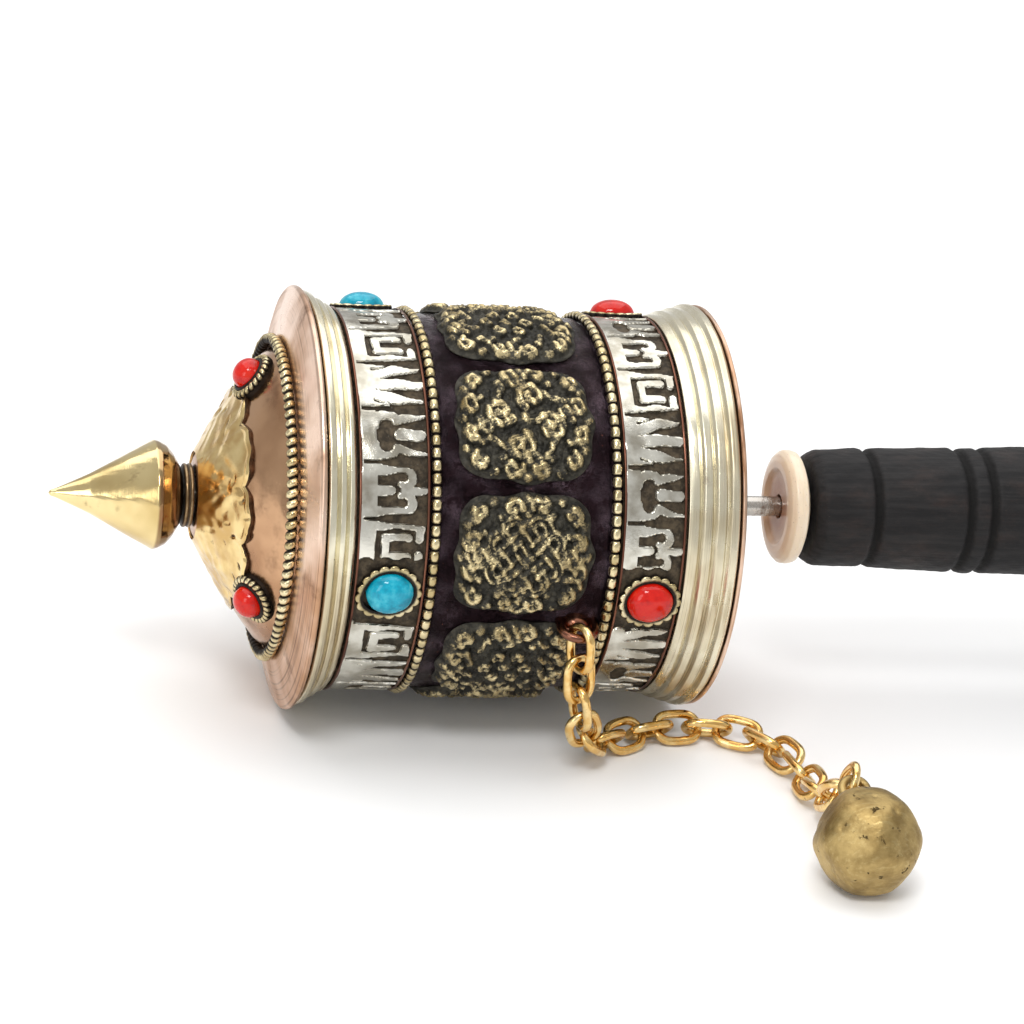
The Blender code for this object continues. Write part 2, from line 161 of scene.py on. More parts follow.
class Finish:
    """One material.  node() is the one way a node is added to it."""

    def __init__(self, name, **constants):
        self.material = bpy.data.materials.new(name)
        self.material.use_nodes = True
        self.tree = self.material.node_tree
        self.tree.nodes.clear()
        self.shader = self.node("ShaderNodeBsdfPrincipled")
        self.node("ShaderNodeOutputMaterial", {}, {"Surface": self.shader.outputs[0]})
        self.place = self.node("ShaderNodeTexCoord").outputs["Object"]
        for socket, value in constants.items():
            self.shader.inputs[socket.replace("_", " ")].default_value = value

    def node(self, kind, settings=None, sockets=None):
        """Adds a node: its settings first, then the values or links of its sockets."""
        made = self.tree.nodes.new(kind)
        for key, value in (settings or {}).items():
            setattr(made, key, value)
        for key, value in (sockets or {}).items():
            value = value.socket if isinstance(value, Value) else value
            if isinstance(value, bpy.types.NodeSocket):
                self.tree.links.new(value, made.inputs[key])
            elif isinstance(value, tuple) and made.inputs[key].type == "RGBA":
                made.inputs[key].default_value = (*value, 1)
            else:
                made.inputs[key].default_value = value
        return made

    def set(self, **sockets):
        for key, value in sockets.items():
            value = value.socket if isinstance(value, Value) else value
            self.tree.links.new(value, self.shader.inputs[key.replace("_", " ")])

    def stretched(self, scale):
        """Object coordinates about the wheel's axis, scaled along each direction."""
        centred = self.node("ShaderNodeVectorMath", {"operation": "SUBTRACT"},
                            {0: self.place, 1: tuple(AXIS)}).outputs[0]
        return self.node("ShaderNodeVectorMath", {"operation": "MULTIPLY"},
                         {0: centred, 1: scale}).outputs[0]

    def noise(self, scale, detail=3.0, roughness=0.55, stretch=(1, 1, 1), vector=None):
        node = self.node("ShaderNodeTexNoise", {}, {"Vector": vector or self.stretched(stretch),
                                                    "Scale": scale, "Detail": detail,
                                                    "Roughness": roughness})
        return Value(self, node.outputs[0])

    def turning_marks(self, fineness):
        """Noise drawn out round the axis, as a lathe leaves it: it reads ((x + r) * fineness,
        y / r, z / r), with r the distance from the axis."""
        split = self.node("ShaderNodeSeparateXYZ", {}, {0: self.stretched((1, 1, 1))}).outputs
        x, y, z = (Value(self, socket) for socket in split)
        radius = (y * y + z * z + 1e-9) ** 0.5
        vector = self.node("ShaderNodeCombineXYZ", {}, {0: (x + radius) * fineness, 1: y / radius,
                                                        2: z / radius}).outputs[0]
        return self.noise(1.0, 4.0, 0.6, vector=vector)

    def attribute(self, name):
        return Value(self, self.node("ShaderNodeAttribute", {"attribute_name": name}).outputs["Fac"])

    def layered(self, colour, *layers):
        """The colour with each (share, colour) of the layers laid over it in turn."""
        for share, over in layers:
            node = self.node("ShaderNodeMix", {"data_type": "RGBA"}, {0: share, 6: colour, 7: over})
            colour = Value(self, node.outputs[2])
        return colour

    def bump(self, height, strength, distance=0.0002):
        node = self.node("ShaderNodeBump", {}, {"Height": height, "Strength": strength,
                                                "Distance": distance})
        self.set(Normal=node.outputs[0])


def worn_metal(name, bright, warm, stain, rough, marks, stained, fineness, streaks=0.0, back=None):
    """Burnished sheet or turned metal: its tint drifts between two colours, stains lie in patches,
    and fine marks run round the axis.  Where the piece's "raised" is 1 it takes the back colour."""
    finish = Finish(name, Metallic=1.0)
    drift = finish.noise(70, 3).rise(0.35, 0.68)
    patches = finish.noise(160, 6, 0.65).rise(0.74 - 0.26 * stained, 0.80)
    pits = finish.noise(1500, 4, 0.7).rise(0.62, 0.74)
    lines = finish.turning_marks(fineness)
    layers = [(drift, warm), (patches * 0.75, stain), (pits * (0.35 * stained), stain)]
    if streaks:
        layers.append((lines.rise(0.52, 0.66) * patches.most(drift) * streaks, stain))
    if back:
        layers.append((finish.attribute("raised") * (0.55 + 0.45 * drift), back))
    finish.set(Base_Color=finish.layered(bright, *layers),
               Roughness=drift * (rough[1] - rough[0]) + rough[0] + patches * 0.14 + lines * 0.10 - 0.05)
    finish.bump(lines * marks + finish.noise(900, 4) * 0.5 + pits * -0.4, 0.25, 0.0001)
    return finish.material


def relief_metal(name, top, top_warm, ground, rough, grain, low=0.30, high=0.62):
    """Cast or chased metal: rubbed bright where the piece's own "raised" attribute is high, and dark
    where it is low, with a broken edge between."""
    ground_metal = 0.35
    finish = Finish(name, Specular_IOR_Level=0.25)
    ragged = finish.noise(2300, 5, 0.75) - 0.5
    shown = (finish.attribute("raised") + ragged * grain).rise(low, high)
    tint = finish.layered(top, (finish.noise(220, 3).rise(0.35, 0.65), top_warm))
    specks = finish.noise(3200, 2).rise(0.62, 0.72)
    mottle = finish.noise(620, 6, 0.7).rise(0.38, 0.66)
    colour = finish.layered(tuple(0.45 * c for c in ground), (mottle, tuple(1.6 * c for c in ground)),
                            (specks * 0.45, tuple(0.35 * c for c in top_warm)), (shown, tint))
    finish.set(Base_Color=colour, Metallic=shown * (1 - ground_metal) + ground_metal,
               Roughness=rough[1] - shown * (rough[1] - rough[0]) + finish.noise(1800, 3) * 0.16 - 0.08)
    finish.bump(finish.noise(2200, 5, 0.7) * 0.7 + shown * 0.3, 0.35, 0.0001)
    return finish.material


def patinated_shell():
    """Oxidised copper, dark aubergine and glossy, with lilac patches that are partly haze and partly
    painted highlight, and bare coppery specks.
    """
    finish = Finish("patinated_shell", Metallic=1.0)
    # Lilac patches: partly patina haze, partly painted highlight that stands in for reflections of the
    # lights.
    haze_and_painted_highlight = finish.noise(260, 8, 0.78).rise(0.47, 0.60)
    blots = finish.noise(520, 6, 0.75).rise(0.48, 0.60)
    specks = finish.noise(1500, 3, 0.6).rise(0.69, 0.74) * finish.noise(170, 2).rise(0.50, 0.60)
    colour = finish.layered((0.022, 0.012, 0.015), (haze_and_painted_highlight, (0.170, 0.120, 0.148)),
                            (blots * 0.75, (0.008, 0.004, 0.005)), (specks, (0.70, 0.30, 0.18)))
    finish.set(Base_Color=colour, Roughness=blots * 0.14 + 0.10)
    finish.bump(finish.noise(700, 7, 0.8) * 1.6 + finish.noise(90, 3) * 2.0 + blots * 0.4, 0.9, 0.0004)
    return finish.material


def chain_gold():
    finish = Finish("chain_gold", Metallic=1.0)
    rubbed = finish.noise(500, 4).rise(0.40, 0.66)
    grime = finish.noise(1100, 5, 0.7).rise(0.60, 0.74)
    colour = finish.layered((0.74, 0.46, 0.15), (rubbed, (0.86, 0.65, 0.31)),
                            (grime * 0.7, (0.13, 0.05, 0.018)))
    finish.set(Base_Color=colour, Roughness=grime * 0.25 + rubbed * 0.08 + 0.17)
    finish.bump(finish.noise(1500, 4) + grime * -0.5, 0.15, 0.0001)
    return finish.material


def weight_brass():
    """Dull cast brass with pits and brighter rubbed corners."""
    finish = Finish("weight_brass", Metallic=1.0)
    cloud = finish.noise(230, 5, 0.6).rise(0.35, 0.68)
    pits = finish.noise(620, 4, 0.65).rise(0.63, 0.70)
    scratches = finish.noise(260, 5, 0.7, stretch=(1, 9, 5)).rise(0.50, 0.66)
    corners = (finish.attribute("raised") + finish.noise(900, 3) * 0.5 - 0.25).rise(0.5, 0.9)
    colour = finish.layered((0.28, 0.19, 0.070), (cloud, (0.52, 0.38, 0.16)),
                            (corners, (0.62, 0.47, 0.20)),
                            (scratches * 0.25, (0.60, 0.48, 0.24)), (pits * 0.85, (0.04, 0.026, 0.012)))
    finish.set(Base_Color=colour, Roughness=0.46 - scratches * 0.12 + cloud * 0.08 + pits * 0.2)
    finish.bump(finish.noise(800, 5, 0.65) * 0.8 + pits * -1.0, 0.5, 0.0003)
    return finish.material


def polished_stone(name, body, pale, deep, vein):
    """Cabochon stone: clouded colour under a clear polish, with small veins and chips."""
    finish = Finish(name, Coat_Roughness=0.06, Specular_IOR_Level=0.08)
    cloud = finish.noise(420, 4, 0.6)
    veins = finish.noise(800, 5, 0.65).rise(0.64, 0.70)
    colour = finish.layered(body, (cloud.rise(0.45, 0.72), pale), (cloud.rise(0.52, 0.28) * 0.8, deep),
                            (veins * 0.6, vein))
    finish.set(Base_Color=colour, Roughness=cloud * 0.10 + 0.10 + veins * 0.15,
               Coat_Weight=0.62 - veins * 0.3)
    finish.bump(finish.noise(700, 3) + veins * -0.6, 0.10, 0.0002)
    return finish.material


def bone():
    """Cream bone, tan and brown towards the axle, with faint rings and pores."""
    finish = Finish("polished_bone", Subsurface_Weight=0.15, Subsurface_Radius=(0.003, 0.002, 0.001),
                    Coat_Roughness=0.15)
    worn = finish.attribute("raised")
    rings = finish.turning_marks(1800)
    pores = finish.noise(2600, 3).rise(0.64, 0.72)
    colour = finish.layered((0.30, 0.13, 0.065),
                            (worn + finish.noise(300, 4) * 0.3 - 0.15, (0.86, 0.72, 0.54)),
                            (rings.rise(0.5, 0.75) * 0.25, (0.58, 0.39, 0.23)),
                            (pores * 0.4, (0.28, 0.15, 0.08)))
    finish.set(Base_Color=colour, Roughness=rings * 0.2 + 0.25, Coat_Weight=worn * 0.4)
    finish.bump(rings * 0.6 + pores * -0.6, 0.25, 0.0002)
    return finish.material


def dark_wood():
    """Near-black stained wood: grain drawn out along the grip, brown where the stain has worn."""
    finish = Finish("dark_wood", Specular_IOR_Level=0.25)
    grain = finish.noise(900, 5, 0.65, stretch=(0.05, 1, 1))
    worn = finish.noise(170, 6, 0.7, stretch=(0.45, 1, 1)).rise(0.48, 0.72)
    flecks = finish.noise(1400, 4, 0.7).rise(0.66, 0.76)
    groove = finish.attribute("raised")
    colour = finish.layered((0.0075, 0.0070, 0.0075), (grain.rise(0.35, 0.70), (0.019, 0.0175, 0.0175)),
                            (worn * 0.30, (0.052, 0.028, 0.021)), (flecks * 0.35, (0.10, 0.070, 0.052)),
                            (groove, (0.003, 0.0025, 0.0022)))
    finish.set(Base_Color=colour, Roughness=0.60 - worn * 0.10 + groove * 0.15 + grain * 0.12)
    finish.bump(grain * 1.0 + finish.noise(500, 5, 0.7) * 0.8, 0.55, 0.0003)
    return finish.material


def axle_steel():
    finish = Finish("axle_steel", Metallic=1.0)
    rust = finish.noise(500, 5, 0.7).rise(0.50, 0.72)
    marks = finish.turning_marks(4000)
    colour = finish.layered((0.50, 0.47, 0.43), (rust * 0.8, (0.13, 0.07, 0.04)))
    finish.set(Base_Color=colour, Roughness=rust * 0.3 + marks * 0.15 + 0.18)
    finish.bump(marks, 0.3, 0.0001)
    return finish.material


def prayer_paper():
    finish = Finish("prayer_paper")
    fibres = finish.noise(900, 5, 0.7, stretch=(0.3, 1, 1))
    colour = finish.layered((0.60, 0.50, 0.33), (fibres, (0.82, 0.74, 0.56)))
    finish.set(Base_Color=colour, Roughness=fibres * 0.2 + 0.7)
    finish.bump(finish.turning_marks(6000) + fibres, 0.4, 0.0002)
    return finish.material


def floor_white():
    finish = Finish("floor_white", Specular_IOR_Level=0.2)
    grain = finish.noise(40, 3)
    colour = finish.layered((0.93, 0.93, 0.93), (grain, (0.95, 0.95, 0.95)))
    finish.set(Base_Color=colour, Roughness=grain * 0.1 + 0.5)
    return finish.material


# ---- surfaces ----

BODY_OF = {node: body for body, nodes in frame["record"]["behaviour"]["bodies"].items()
           for node in nodes}


def added(name, data):
    """A new object in the scene."""
    obj = bpy.data.objects.new(name, data)
    bpy.context.scene.collection.objects.link(obj)
    return obj


class Skin:
    """A mesh gathered from closed grids of points, with a "raised" share for each point."""

    def __init__(self):
        self.points, self.quads, self.raised, self.count = [], [], [], 0

    def add(self, points, raised=0.0, ring=False):
        """Adds a grid whose columns run in a closed ring.  Its rows are a ring too, or its two ends
        are drawn together to a point each.  The quads are turned to face outwards: if the sum of
        the signed volumes under them is negative, their order is reversed."""
        raised = np.broadcast_to(raised, points.shape[:2])
        if not ring:
            ends = [np.broadcast_to(points[i].mean(0), points[i].shape) for i in (0, -1)]
            points = np.concatenate([ends[0][None], points, ends[1][None]])
            raised = np.concatenate([raised[:1], raised, raised[-1:]])
        rows, columns = points.shape[:2]
        index = np.arange(rows * columns).reshape(rows, columns)
        across = np.roll(index, -1, 1)
        if ring:
            below, across_below = np.roll(index, -1, 0), np.roll(across, -1, 0)
        else:
            below, across_below = index[1:], across[1:]
            index, across = index[:-1], across[:-1]
        quads = np.stack([index, across, across_below, below], -1).reshape(-1, 4)
        flat = points.reshape(-1, 3)
        a, b, c, d = (flat[quads[:, i]] - flat.mean(0) for i in range(4))
        if (np.cross(c - a, d - b) * (a + b + c + d)).sum() < 0:
            quads = quads[:, ::-1]
        self.points.append(flat)
        self.quads.append(quads + self.count)
        self.raised.append(raised.reshape(-1))
        self.count += len(flat)
        return self

    def piece(self, name, finish, node, stands_for=True, sharp=40):
        """The finished object: it rides on the CAD node's body and, if asked, hides that node, taking its
        place.
        """
        quads = np.concatenate(self.quads)
        mesh = bpy.data.meshes.new(name)
        mesh.vertices.add(self.count)
        mesh.vertices.foreach_set("co", np.concatenate(self.points).astype(np.float32).ravel())
        mesh.loops.add(quads.size)
        mesh.loops.foreach_set("vertex_index", quads.astype(np.int32).ravel())
        mesh.polygons.add(len(quads))
        mesh.polygons.foreach_set("loop_start", np.arange(0, quads.size, 4, dtype=np.int32))
        mesh.attributes.new("raised", "FLOAT", "POINT").data.foreach_set(
            "value", np.concatenate(self.raised).astype(np.float32))
        mesh.update(calc_edges=True)
        work = bmesh.new()
        work.from_mesh(mesh)
        bmesh.ops.remove_doubles(work, verts=work.verts, dist=1e-7)
        work.to_mesh(mesh)
        work.free()
        mesh.shade_smooth()
        mesh.set_sharp_from_angle(angle=radians(sharp))
        mesh.materials.append(finish)
        obj = added(name, mesh)
        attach(obj, BODY_OF[node])
        if stands_for:
            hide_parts(node)


def stepped(corners, count, closed=False):
    """Even steps along straight runs between the corners; count gives their number from the length."""
    corners = np.array(corners, float)
    if closed:
        corners = np.vstack([corners, corners[:1]])
    lengths = np.r_[0, np.cumsum(np.hypot(*np.diff(corners, axis=0).T))]
    at = np.linspace(0, lengths[-1], count(lengths[-1]), endpoint=not closed)
    return np.stack([np.interp(at, lengths, corners[:, i]) for i in (0, 1)], 1)


def outline(corners, fillet, ring=True, step=0.12):
    """Even steps along a line through the corners, each point averaged with its neighbours over a
    raised-cosine window of the fillet's width, which rounds the corners."""
    line = stepped(corners, lambda length: max(int(length / step), 24), closed=ring)
    width = max(int(round(fillet / step)), 1)
    window = np.hanning(2 * width + 3)[1:-1]
    before, after = ((line[-width:], line[:width]) if ring else
                     (2 * line[0] - line[width:0:-1], 2 * line[-1] - line[-2:-width - 2:-1]))
    padded = np.vstack([before, line, after])
    return np.stack([np.convolve(padded[:, i], window / window.sum(), "valid") for i in (0, 1)], 1)


def measured(end, *corners):
    """Corners of an outline whose place along is measured back from an end."""
    return [(end - gap, radius) for gap, radius in corners]


def hand_made(along, angle):
    """Gentle unevenness: a sum of size * sin(count * angle + slope * along + phase), counts whole."""
    return sum(size * sin(count * angle + slope * along + phase) for size, count, slope, phase in (
        (0.030, 3, 0.21, 0.4), (0.020, 7, -0.5, 1.9), (0.012, 17, 1.1, 0.2), (0.008, 31, -2.3, 2.7)))


def turned(name, finish, node, corners, fillet, ring=True, step=0.12, uneven=1.0, columns=256,
           raised=None):
    """An outline of (along, radius) carried round the axis, with a little unevenness in its radius."""
    line = outline(corners, fillet, ring, step)
    angle = turns(columns)
    along, radius = line[:, :1], np.maximum(line[:, 1:], 0)
    shown = radius + uneven * hand_made(along, angle) * np.clip(radius / 10, 0, 1)
    share = 0.0 if raised is None else raised(along, radius) + 0 * angle
    Skin().add(wheel(along, angle, shown), share, ring).piece(name, finish, node)


def beaded(name, finish, node, along, radius, wire, beads, per_bead, squareness, depth, lean=0.0,
           spread=1.0):
    """A wire round the axis swelled into beads: its radius is wire times (1 - depth * |2s - 1| **
    squareness), s running from 0 to 1 over each bead and shifted by lean round the wire."""
    turn, section = turns(beads * per_bead), turns(14).T
    share = (turn * beads / tau + lean * cos(section)) % 1
    number = np.floor(turn * beads / tau + lean * cos(section))
    size = 1 + 0.05 * sin(number * 12.9898) + 0.04 * sin(number * 4.1414)
    swell = (1 - depth * np.abs(2 * share - 1) ** squareness) * size
    points = wheel(along + wire * spread * swell * cos(section), turn,
                   radius + wire * swell * sin(section))
    raised = (swell - (1 - depth)) / depth * (0.35 + 0.65 * np.clip(sin(section) + 0.4, 0, 1))
    Skin().add(points, raised, ring=True).piece(name, finish, node)


def carried(path, wire, up):
    """A round wire along an open path: circles across the path's direction, taken from the
    differences of its points, in the plane of two directions square to it."""
    ahead = unit(np.gradient(path, axis=0))
    side = unit(np.cross(ahead, up))
    other = np.cross(ahead, side)
    angle = turns(16)[..., None]
    return path[:, None] + wire / 2 * (cos(angle) * side[:, None] + sin(angle) * other[:, None])


def staple(half, foot, bend, leg, arch):
    """Places across and outward along a U of wire: leg points up a straight run from the foot to the
    bend, arch points round a half circle, and down again."""
    turn = np.linspace(pi, 0, arch)
    rising = np.linspace(foot, bend, leg + 1)[:-1]
    across = np.concatenate([np.full(leg, -half), half * cos(turn), np.full(leg, half)])
    return across, np.concatenate([rising, bend + half * sin(turn), rising[::-1]])


# ---- drawn ornament ----

def line_of(*corners):
    """Points every eighth of a millimetre or so along straight runs between the corners."""
    return stepped(corners, lambda length: int(length * 8) + 2)


def spun(x, y, degrees_round):
    """A place turned about the middle by so many degrees."""
    c, s = cos(radians(degrees_round)), sin(radians(degrees_round))
    return x * c - y * s, x * s + y * c


def curl(middle, start, end, first, last):
    """A spiral whose radius goes evenly from start to end as its angle goes from first to last,
    in degrees."""
    share = np.linspace(0, 1, 48)
    angle, radius = np.radians(first + (last - first) * share), start + (end - start) * share
    return np.stack([middle[0] + radius * cos(angle), middle[1] + radius * sin(angle)], 1)


def reach(u, v, stroke):
    """Distance from each place to the nearest point of a stroke, and that point's share of the way
    along it."""
    gap = (u[..., None] - stroke[:, 0]) ** 2 + (v[..., None] - stroke[:, 1]) ** 2
    return np.sqrt(gap.min(-1)), gap.argmin(-1) / max(len(stroke) - 1, 1)


def step_up(value, low, high):
    """0 below low, 1 above high, and a smooth step between."""
    share = np.clip((value - low) / (high - low), 0, 1)
    return share * share * (3 - 2 * share)


# ---- handle, axle and washer ----

BORE_R = 1.9      # the bores that run on the axle


def handle():
    """Turned grip: the nose, shallow grooves, a swell, a waist, a knob and a flat butt."""
    nose, butt = ends_of("handle_grip")
    nose_radius, slope = 9.3, 1.3 / 40
    grooves = [nose + gap for gap in (10, 25.5, 29.4)]
    corners = measured(butt, (0, 0), (0, 7.0), (1.4, 9.6), (6, 11.6), (12, 11.9), (18, 10.6), (22, 8.9),
                       (25, 8.6), (28, 9.2), (39, 10.6), (57, 11.2))
    for groove in reversed(grooves):
        here = nose_radius + slope * (groove - nose)
        corners += measured(groove, (-0.9, here), (-0.4, here - 0.75), (0.4, here - 0.75), (0.9, here))
    corners += [(nose + 1.5, nose_radius), (nose, nose_radius - 1.0), (nose, BORE_R), (nose, 0)]

    def in_groove(along, radius):
        return sum(np.exp(-((along - groove) / 0.75) ** 4) for groove in grooves)

    turned("turned_grip", dark_wood(), "handle_grip", corners, 0.4, ring=False, step=0.42, uneven=2.5,
           columns=160, raised=in_groove)


def axle():
    low, high = ends_of("axle_rod")
    radius = radius_of("axle_rod")
    turned("steel_axle", axle_steel(), "axle_rod", [(high, 0), (high, radius), (low, radius), (low, 0)],
           0.2, ring=False, step=0.7, uneven=0, columns=48)


def washer():
    """Stepped bone disc, its rim round and its face towards the drum cut back."""
    low, high = ends_of("bone_washer")
    wide = radius_of("bone_washer")
    corners = measured(high, (0, BORE_R), (0, 6.2), (0.5, 7.6), (1.1, wide - 0.3), (2, wide),
                       (3, wide - 0.1))
    corners += measured(low, (-0.3, wide - 0.8), (0, 7.4), (0, 6.2), (-0.6, 5.6), (-0.6, BORE_R))
    turned("bone_disc", bone(), "bone_washer", corners, 0.3, columns=160,
           raised=lambda along, radius: step_up(radius, 2.5, 9.4))


# ---- drum ----

SHELL_R = 29.2
BAND_R = radius_of("upper_band")
SEAT_R = BAND_R - 0.8


def shell():
    """Drum wall, a little dented, and rebated at both ends for the bands."""
    low, high = ends_of("drum_shell")
    left, right = ends_of("upper_bead_wire")[1] + 0.2, ends_of("lower_bead_wire")[0] - 0.2
    inside, rebate = 27.8, 28.6
    corners = [(high, inside), (high, rebate), (right, rebate), (right, SHELL_R), (left, SHELL_R),
               (left, rebate), (low, rebate), (low, inside)]
    turned("patinated_drum", patinated_shell(), "drum_shell", corners, 0.15, step=0.45, uneven=1.6)


def mirrored(strokes):
    """The strokes and their mirror images across the middle of the repeat."""
    return strokes + [(stroke * (1, -1), half) for stroke, half in strokes]


# The bands' ornament is a plain frieze of bars, frets, horns and leaves that hang from a rail, each
# repeat the same on both sides of its middle.  Places are millimetres from the rail's side and
# round the drum: a repeat is REPEAT_WIDE round the drum, and drawn REPEAT_LONG across the band.
REPEAT_WIDE, REPEAT_LONG = 8.48, 10.2
FRIEZE_MOTIFS = [
    # ram's horns beside a bar
    mirrored([(line_of((1.8, 3.1), (6.0, 3.2)), 0.80), (curl((6.3, 1.75), 1.5, 0.95, 80, -110), 0.62)])
    + [(line_of((1.8, 0.0), (4.6, 0.0)), 0.80), (line_of((6.4, 0.0), (9.4, 0.0)), 0.55)],
    # nested fret
    mirrored([(line_of((1.8, 3.35), (9.0, 3.35)), 0.72), (line_of((8.9, 3.3), (8.9, 1.2)), 0.66),
              (line_of((4.0, 1.45), (7.2, 1.45)), 0.62)]) + [(line_of((4.0, -1.4), (4.0, 1.4)), 0.60)],
    # three leaves
    mirrored([(line_of((2.2, 1.6), (5.4, 2.6), (9.0, 3.3)), 0.84),
              (line_of((1.8, 3.6), (4.2, 3.8)), 0.55)])
    + [(line_of((1.8, 0.0), (9.3, 0.0)), 0.92)],
    # bow and bud
    mirrored([(curl((4.0, 1.5), 1.75, 1.75, 180, 20), 0.66), (line_of((5.6, 2.2), (9.2, 3.3)), 0.66)])
    + [(line_of((6.2, 0.0), (8.9, 0.0)), 0.95)],
]
FRIEZE_ORDER = (0, 1, 2, 3) * 5 + (0, 1)


def frieze(name, finish, node, stones, shift):
    """Band with raised ornament.  Over each repeat the height steps up, within a tenth of a
    millimetre, where a place is nearer a stroke than the stroke's half width, or lies on the rail."""
    low, high = ends_of(node)
    rows, per_repeat = 64, 50
    u, v = np.meshgrid(np.linspace(0, high - low, rows),
                       (np.arange(per_repeat) / per_repeat - 0.5) * REPEAT_WIDE, indexing="ij")
    drawn = u * REPEAT_LONG / (high - low)
    lean = v + 0.10 * sin(drawn * 1.3)
    tiles = []
    for strokes in FRIEZE_MOTIFS:
        inside = np.full(u.shape, -9.0)
        for stroke, half in strokes:
            gap, share = reach(drawn, lean, stroke)
            inside = np.maximum(inside, half * (1.05 - 0.22 * share) - gap)
        rail = np.minimum(1.12 - np.abs(drawn - 1.45), 1.0)
        notch = 0.16 + 0.10 * drawn - np.abs(np.abs(v) - REPEAT_WIDE / 2)
        tiles.append(np.minimum(np.maximum(inside, rail), np.where(drawn > 0.8, -notch, 9)))
    inside = np.concatenate([tiles[i] for i in FRIEZE_ORDER[shift:] + FRIEZE_ORDER[:shift]], 1)
    angle = np.arange(inside.shape[1]) / inside.shape[1] * tau
    along = np.linspace(low, high, rows)[:, None]
    worn = 0.08 * sin(5 * angle + 0.9 * along) + 0.05 * sin(23 * angle - 1.7 * along)
    raised = step_up(inside + 0.10 + worn * 0.9, -0.10, 0.12)
    panel, panel_edge = 5.2, 0.3      # the plain panel round a stone, from its middle
    for stone in stones:
        apart = np.abs((angle - angle_of(stone) + pi) % tau - pi) * BAND_R
        raised = raised * step_up(apart + 0.25 * sin(2.1 * along), panel, panel + panel_edge)
    edge = step_up(np.minimum(along - low, high - along), 0.0, 0.3)
    radius = BAND_R - 0.38 + raised * (0.50 + worn * 0.5) + 0.10 * hand_made(along, angle)
    outer = wheel(along, angle, SEAT_R + (radius - SEAT_R) * edge)
    inner = wheel(np.array([[high], [low]]), angle, SEAT_R)
    share = np.concatenate([raised * edge, np.zeros((2, len(angle)))])
    Skin().add(np.concatenate([outer, inner]), share, ring=True).piece(name, finish, node)


def thin_ring(name, finish, node, along, radius, wire):
    """A fine plain wire lying round the drum."""
    section = turns(8).T
    points = wheel(along + wire * cos(section), turns(224), radius + wire * sin(section))
    Skin().add(points, 0.5, ring=True).piece(name, finish, node, stands_for=False)


# ---- medallions ----

MEDALLION_HALF = (11.0, 9.8)
MEDALLION_FOOT, MEDALLION_THICK = SHELL_R + 0.05, 1.7


def medallion_edge(angle):
    """Distance to a rounded square's edge, with eight broad lobes and small uneven ones."""
    square = (abs(cos(angle)) ** 3.2 + abs(sin(angle)) ** 3.2) ** (-1 / 3.2)
    return square * (0.955 - 0.012 * cos(4 * angle) + 0.026 * cos(8 * angle)
                     + 0.012 * cos(12 * angle + 0.4) + 0.014 * sin(5 * angle + 1.0))


def on_plate(share, turn):
    """The place at a share of the way from a medallion's middle to its edge."""
    far = share * medallion_edge(turn)
    return MEDALLION_HALF[0] * far * cos(turn), MEDALLION_HALF[1] * far * sin(turn)


def ridges(x, y, strokes, grooved=0.0):
    """Height of round-backed strokes: the square root of 1 - (distance / half width) squared, with a
    groove pressed along the middle of each."""
    height = np.zeros(x.shape)
    for stroke, half, tall in strokes:
        gap, _ = reach(x, y, stroke)
        bow = np.sqrt(np.clip(1 - (gap / half) ** 2, 0, 1)) * tall
        height = np.maximum(height, bow - grooved * tall * np.exp(-(gap / (0.22 * half)) ** 2))
    return height


def knot_design(x, y):
    """Woven knot: double-ridged strands along both diagonals, each crossing over and under, closed by
    loops at its corners, with a rolled curl at each side."""
    turned_x, turned_y = (x + y) / sqrt(2), (y - x) / sqrt(2)
    pitch, half, strand = 2.9, 4.2, 1.30
    height = np.zeros(x.shape)
    for p, q, flip in ((turned_x, turned_y, 1), (turned_y, turned_x, -1)):
        for i in (-1, 0, 1):
            gap = np.abs(q - i * pitch)
            over = 0.74 + 0.26 * flip * cos(pi * p / pitch) * (-1) ** i
            bow = np.clip(1 - (gap / strand) ** 4, 0, 1) ** 0.5 * over
            furrow = 0.50 * np.exp(-(gap / 0.42) ** 2)
            height = np.maximum(height, np.where(np.abs(p) < half, bow - furrow, 0))
    loops = [(curl(spun(half, side * pitch, turn), pitch / 2, pitch / 2, turn - 95, turn + 95), 1.05, 0.9)
             for turn in (45, 135, 225, 315) for side in (-0.5, 0.5)]
    curls = [(curl((side * 7.1, 0.0), 1.7, 0.3, 90 - 90 * side, 90 - 90 * side + side * 520), 0.66, 0.9)
             for side in (-1, 1)]
    return np.maximum(height, np.maximum(ridges(x, y, loops, 0.42), ridges(x, y, curls)))


def flower_design(x, y):
    """A boss inside six ringed bosses, and ten slanting leaves about them."""
    strokes = [(np.array([(0.0, 0.0)]), 1.25, 0.95)]
    strokes += [(curl(spun(3.1, 0, 60 * i), 0.75, 0.65, 0, 340), 0.55, 0.9) for i in range(6)]
    for i in range(10):
        turn = (i + 0.5) * pi / 5
        spot = np.array(on_plate(0.60, turn))
        slant = 1.15 * np.array([cos(turn + 0.9), sin(turn + 0.9)])
        strokes.append((line_of(spot - slant, spot + slant), 0.72, 0.85))
    return ridges(x, y, strokes)


def scroll_design(x, y):
    """Four rolling curls about a diamond boss, with leaves between them."""
    strokes = []
    for turn in (0, 90, 180, 270):
        big_curl = curl(spun(3.9, 1.2, turn), 2.2, 0.4, turn - 150, turn + 330)
        leaf = line_of(spun(2.6, -4.6, turn), spun(5.6, -3.0, turn))
        small_curl = curl(spun(6.1, -1.1, turn), 1.1, 0.3, turn, turn - 400)
        strokes += [(big_curl, 0.85, 0.95), (leaf, 0.75, 0.8), (small_curl, 0.62, 0.8)]
    boss = np.clip(1 - (np.abs(x) + np.abs(y)) / 1.9, 0, 1) ** 0.5
    return np.maximum(boss, ridges(x, y, strokes))


